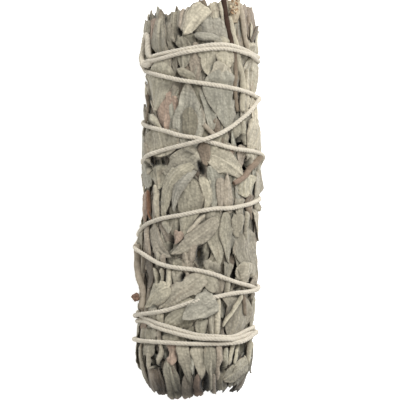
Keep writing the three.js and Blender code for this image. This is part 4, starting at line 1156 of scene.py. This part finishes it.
def add_stems():
    for name, (path, radii, _, tones) in SEEN_STEMS.items():
        shell = Shell()
        centre = in_space(*ways[name])
        radius = np.interp(np.linspace(0, 1, len(centre)), np.linspace(0, 1, len(radii)), radii)
        radius = radius * (1 + 0.06 * np.sin(np.arange(len(centre)) * 0.9 + len(name)))
        share = np.linspace(0, len(tones) - 1, len(centre))
        colours = np.array([linear(TONES[tone]) for tone in tones])
        colour = np.stack([np.interp(share, range(len(tones)), colours[:, k]) for k in range(3)], axis=-1)
        tube(shell, centre, radius, 14, colour, 0.15, 0.05)
        if name == "budded_stem":
            add_bud(shell, centre[round(BUD_ALONG * (len(centre) - 1))])
        slot = "dark_sage_stem" if name in ("dark_stem", "forked_twig") else "sage_stem"
        shell.piece(name, slot, (name,))


def add_bud(shell, at):
    """A knobbly bud beside its stem, of small overlapping scales."""
    centre = at + np.array(BUD_BESIDE)
    for _ in range(26):
        way = unit(rng.normal(size=3))
        spot = centre + way * BUD_RADIUS * 0.55
        line = np.stack([spot - way * 0.5, spot - way * 0.2, spot + way * 0.2, spot + way * 0.5])
        tube(shell, line, [0.25, 0.5, 0.44, 0.12], 9, linear("#836858") * rng.uniform(0.55, 1.0), 0.0, 0.06)
    stalk = at + np.linspace(0.1, 0.8, 4)[:, None] * np.array(BUD_BESIDE)
    tube(shell, stalk, [0.4, 0.36, 0.34, 0.34], 9, linear(TONES["tan"]))


def add_pithy_stem():
    """The thick cut stem, which narrows into the long pale one, with a broken end and crumbling pith."""
    shell = Shell()
    low, high = PITHY_STEM["y"]
    count = 20
    u = place_round(PITHY_STEM["x"], low, PITHY_STEM["out"])
    v = np.linspace(low - 1.8, high, count)
    height = CAD_CORE_RADIUS * taper(v) + PITHY_STEM["above"] - base_radius(v)
    height = height - 0.5 * np.clip((low + 0.6 - v) / 2, 0, 1)
    radius = np.interp(v, [low - 1.8, low + 0.6, high], [0.9, *PITHY_STEM["radii"]])
    radius = radius * (1 + 0.04 * np.sin(1.7 * np.arange(count)))
    tube(shell, in_space(np.full(count, u), v, height), radius, 28, linear("#b3a68f"), 0.6, 0.05, 0.35)
    for _ in range(30):
        place = rng.integers(8, count)
        beside = rng.uniform(-0.8, 0.9)
        top = math.sqrt(radius[place] ** 2 - beside ** 2) * 0.95
        at = in_space(u, v[place], height[place]) + (beside, 0, top)
        way = rng.normal(size=3) * 0.22
        line = np.stack([at - way, at - 0.4 * way, at + 0.4 * way, at + way])
        crumb = linear(rng.choice(["#a88c6e", "#cbbb9e", "#8a6a50"]))
        tube(shell, line, [0.08, 0.26, 0.24, 0.06], 7, crumb, 0.0, 0.1)
    shell.piece("pithy_stem", "sage_stem", ("pithy_stem",))


def add_inner_stems():
    for k, (start, stop, radius, reach) in enumerate(INNER_STEMS):
        shell = Shell()
        middle = ((start[0] + stop[0]) / 2 + 0.6, (start[1] + stop[1]) / 2 - 0.5)
        spots = []
        for (dx, dz), v in ((start, reach[0]), (middle, 0.0), (stop, -reach[1])):
            spots.append((axis_x(v) + dx, v, AXIS_HEIGHT + dz))
        centre = curve_through(spots, 1.0)
        size = radius * (1 - 0.1 * np.sin(np.linspace(0, math.pi, len(centre))))
        tube(shell, centre, size, 20, linear("#a58c69"), 0.35, 0.03)
        name = f"inner_stem_{k + 1}"
        shell.piece(name, "sage_stem", (name,))


def add_twine():
    shell = Shell()
    strands, places, slack = twine_strands(twine_u, twine_v, twine_height)
    sides = 6
    for ply, centre in enumerate(strands):
        rows = len(centre)
        first = shell.count
        tone = linear("#cfc6b4")
        tube(shell, centre, 0.36 * slack, sides, tone)
        blades = np.zeros((shell.count - first, 3))
        blades[:rows * sides, 0] = np.repeat(places, sides)
        blades[:rows * sides, 1] = np.tile(np.arange(sides) * 0.33, rows)
        blades[:, 2] = ply * 7.0
        shell.blades[-1] = blades
    shell.piece("binding_twine", "cotton_twine", ("binding_twine",))
    spots = np.concatenate(strands)
    spots = spots[spots[:, 2] > 2]
    roots = spots[rng.integers(0, len(spots), 1500)]
    ways = rng.normal(size=roots.shape)
    ways[:, 2] = np.abs(ways[:, 2])
    roots = roots + unit(ways) * 0.34
    lengths = rng.uniform(0.3, 1.0, len(roots))
    add_hairs("twine_fuzz", roots, ways, lengths, 0.018, linear("#d9d0c0"), "cotton_twine")


add_stems()
add_pithy_stem()
add_inner_stems()
add_twine()


# The stage: a white floor, a long lens straight above, soft light from the upper right.
def add_stage():
    mesh = bpy.data.meshes.new("floor")
    reach = 1.5
    corners = [(-reach, -reach, 0), (reach, -reach, 0), (reach, reach, 0), (-reach, reach, 0)]
    mesh.from_pydata(corners, [], [(0, 1, 2, 3)])
    mesh.materials.append(backlit_sheet_material())
    floor = bpy.data.objects.new("floor", mesh)
    bpy.context.scene.collection.objects.link(floor)


def add_light(name, place, size, power):
    """A square soft light that points at the bundle."""
    light = bpy.data.lights.new(name, "AREA")
    light.shape = "SQUARE"
    light.size = size
    light.energy = power
    made = bpy.data.objects.new(name, light)
    made.location = place
    made.rotation_euler = Vector(place).to_track_quat("Z", "Y").to_euler()
    bpy.context.scene.collection.objects.link(made)


def add_camera():
    """The photograph's view: 103 mm across the picture at the height of the centre line."""
    camera = bpy.data.cameras.new("camera")
    height, sensor, across = 1.2, 36.0, 0.1032
    camera.sensor_width = sensor
    camera.lens = sensor * (height - AXIS_HEIGHT * MM) / across
    camera.clip_end = 10
    made = bpy.data.objects.new("camera", camera)
    beside, below = 0.000645, -0.00013  # the bundle isn't quite in the middle of the picture
    made.location = (beside, below, height)
    bpy.context.scene.collection.objects.link(made)
    bpy.context.scene.camera = made


add_stage()
add_light("key", (0.17, 0.28, 0.38), 0.22, 2.2)
add_camera()
world = bpy.data.worlds.new("soft_white_room")
world.use_nodes = True
background = world.node_tree.nodes["Background"]
background.inputs["Color"].default_value = (1, 1, 1, 1)
background.inputs["Strength"].default_value = 0.73
bpy.context.scene.world = world
bpy.context.scene.view_settings.view_transform = "Standard"
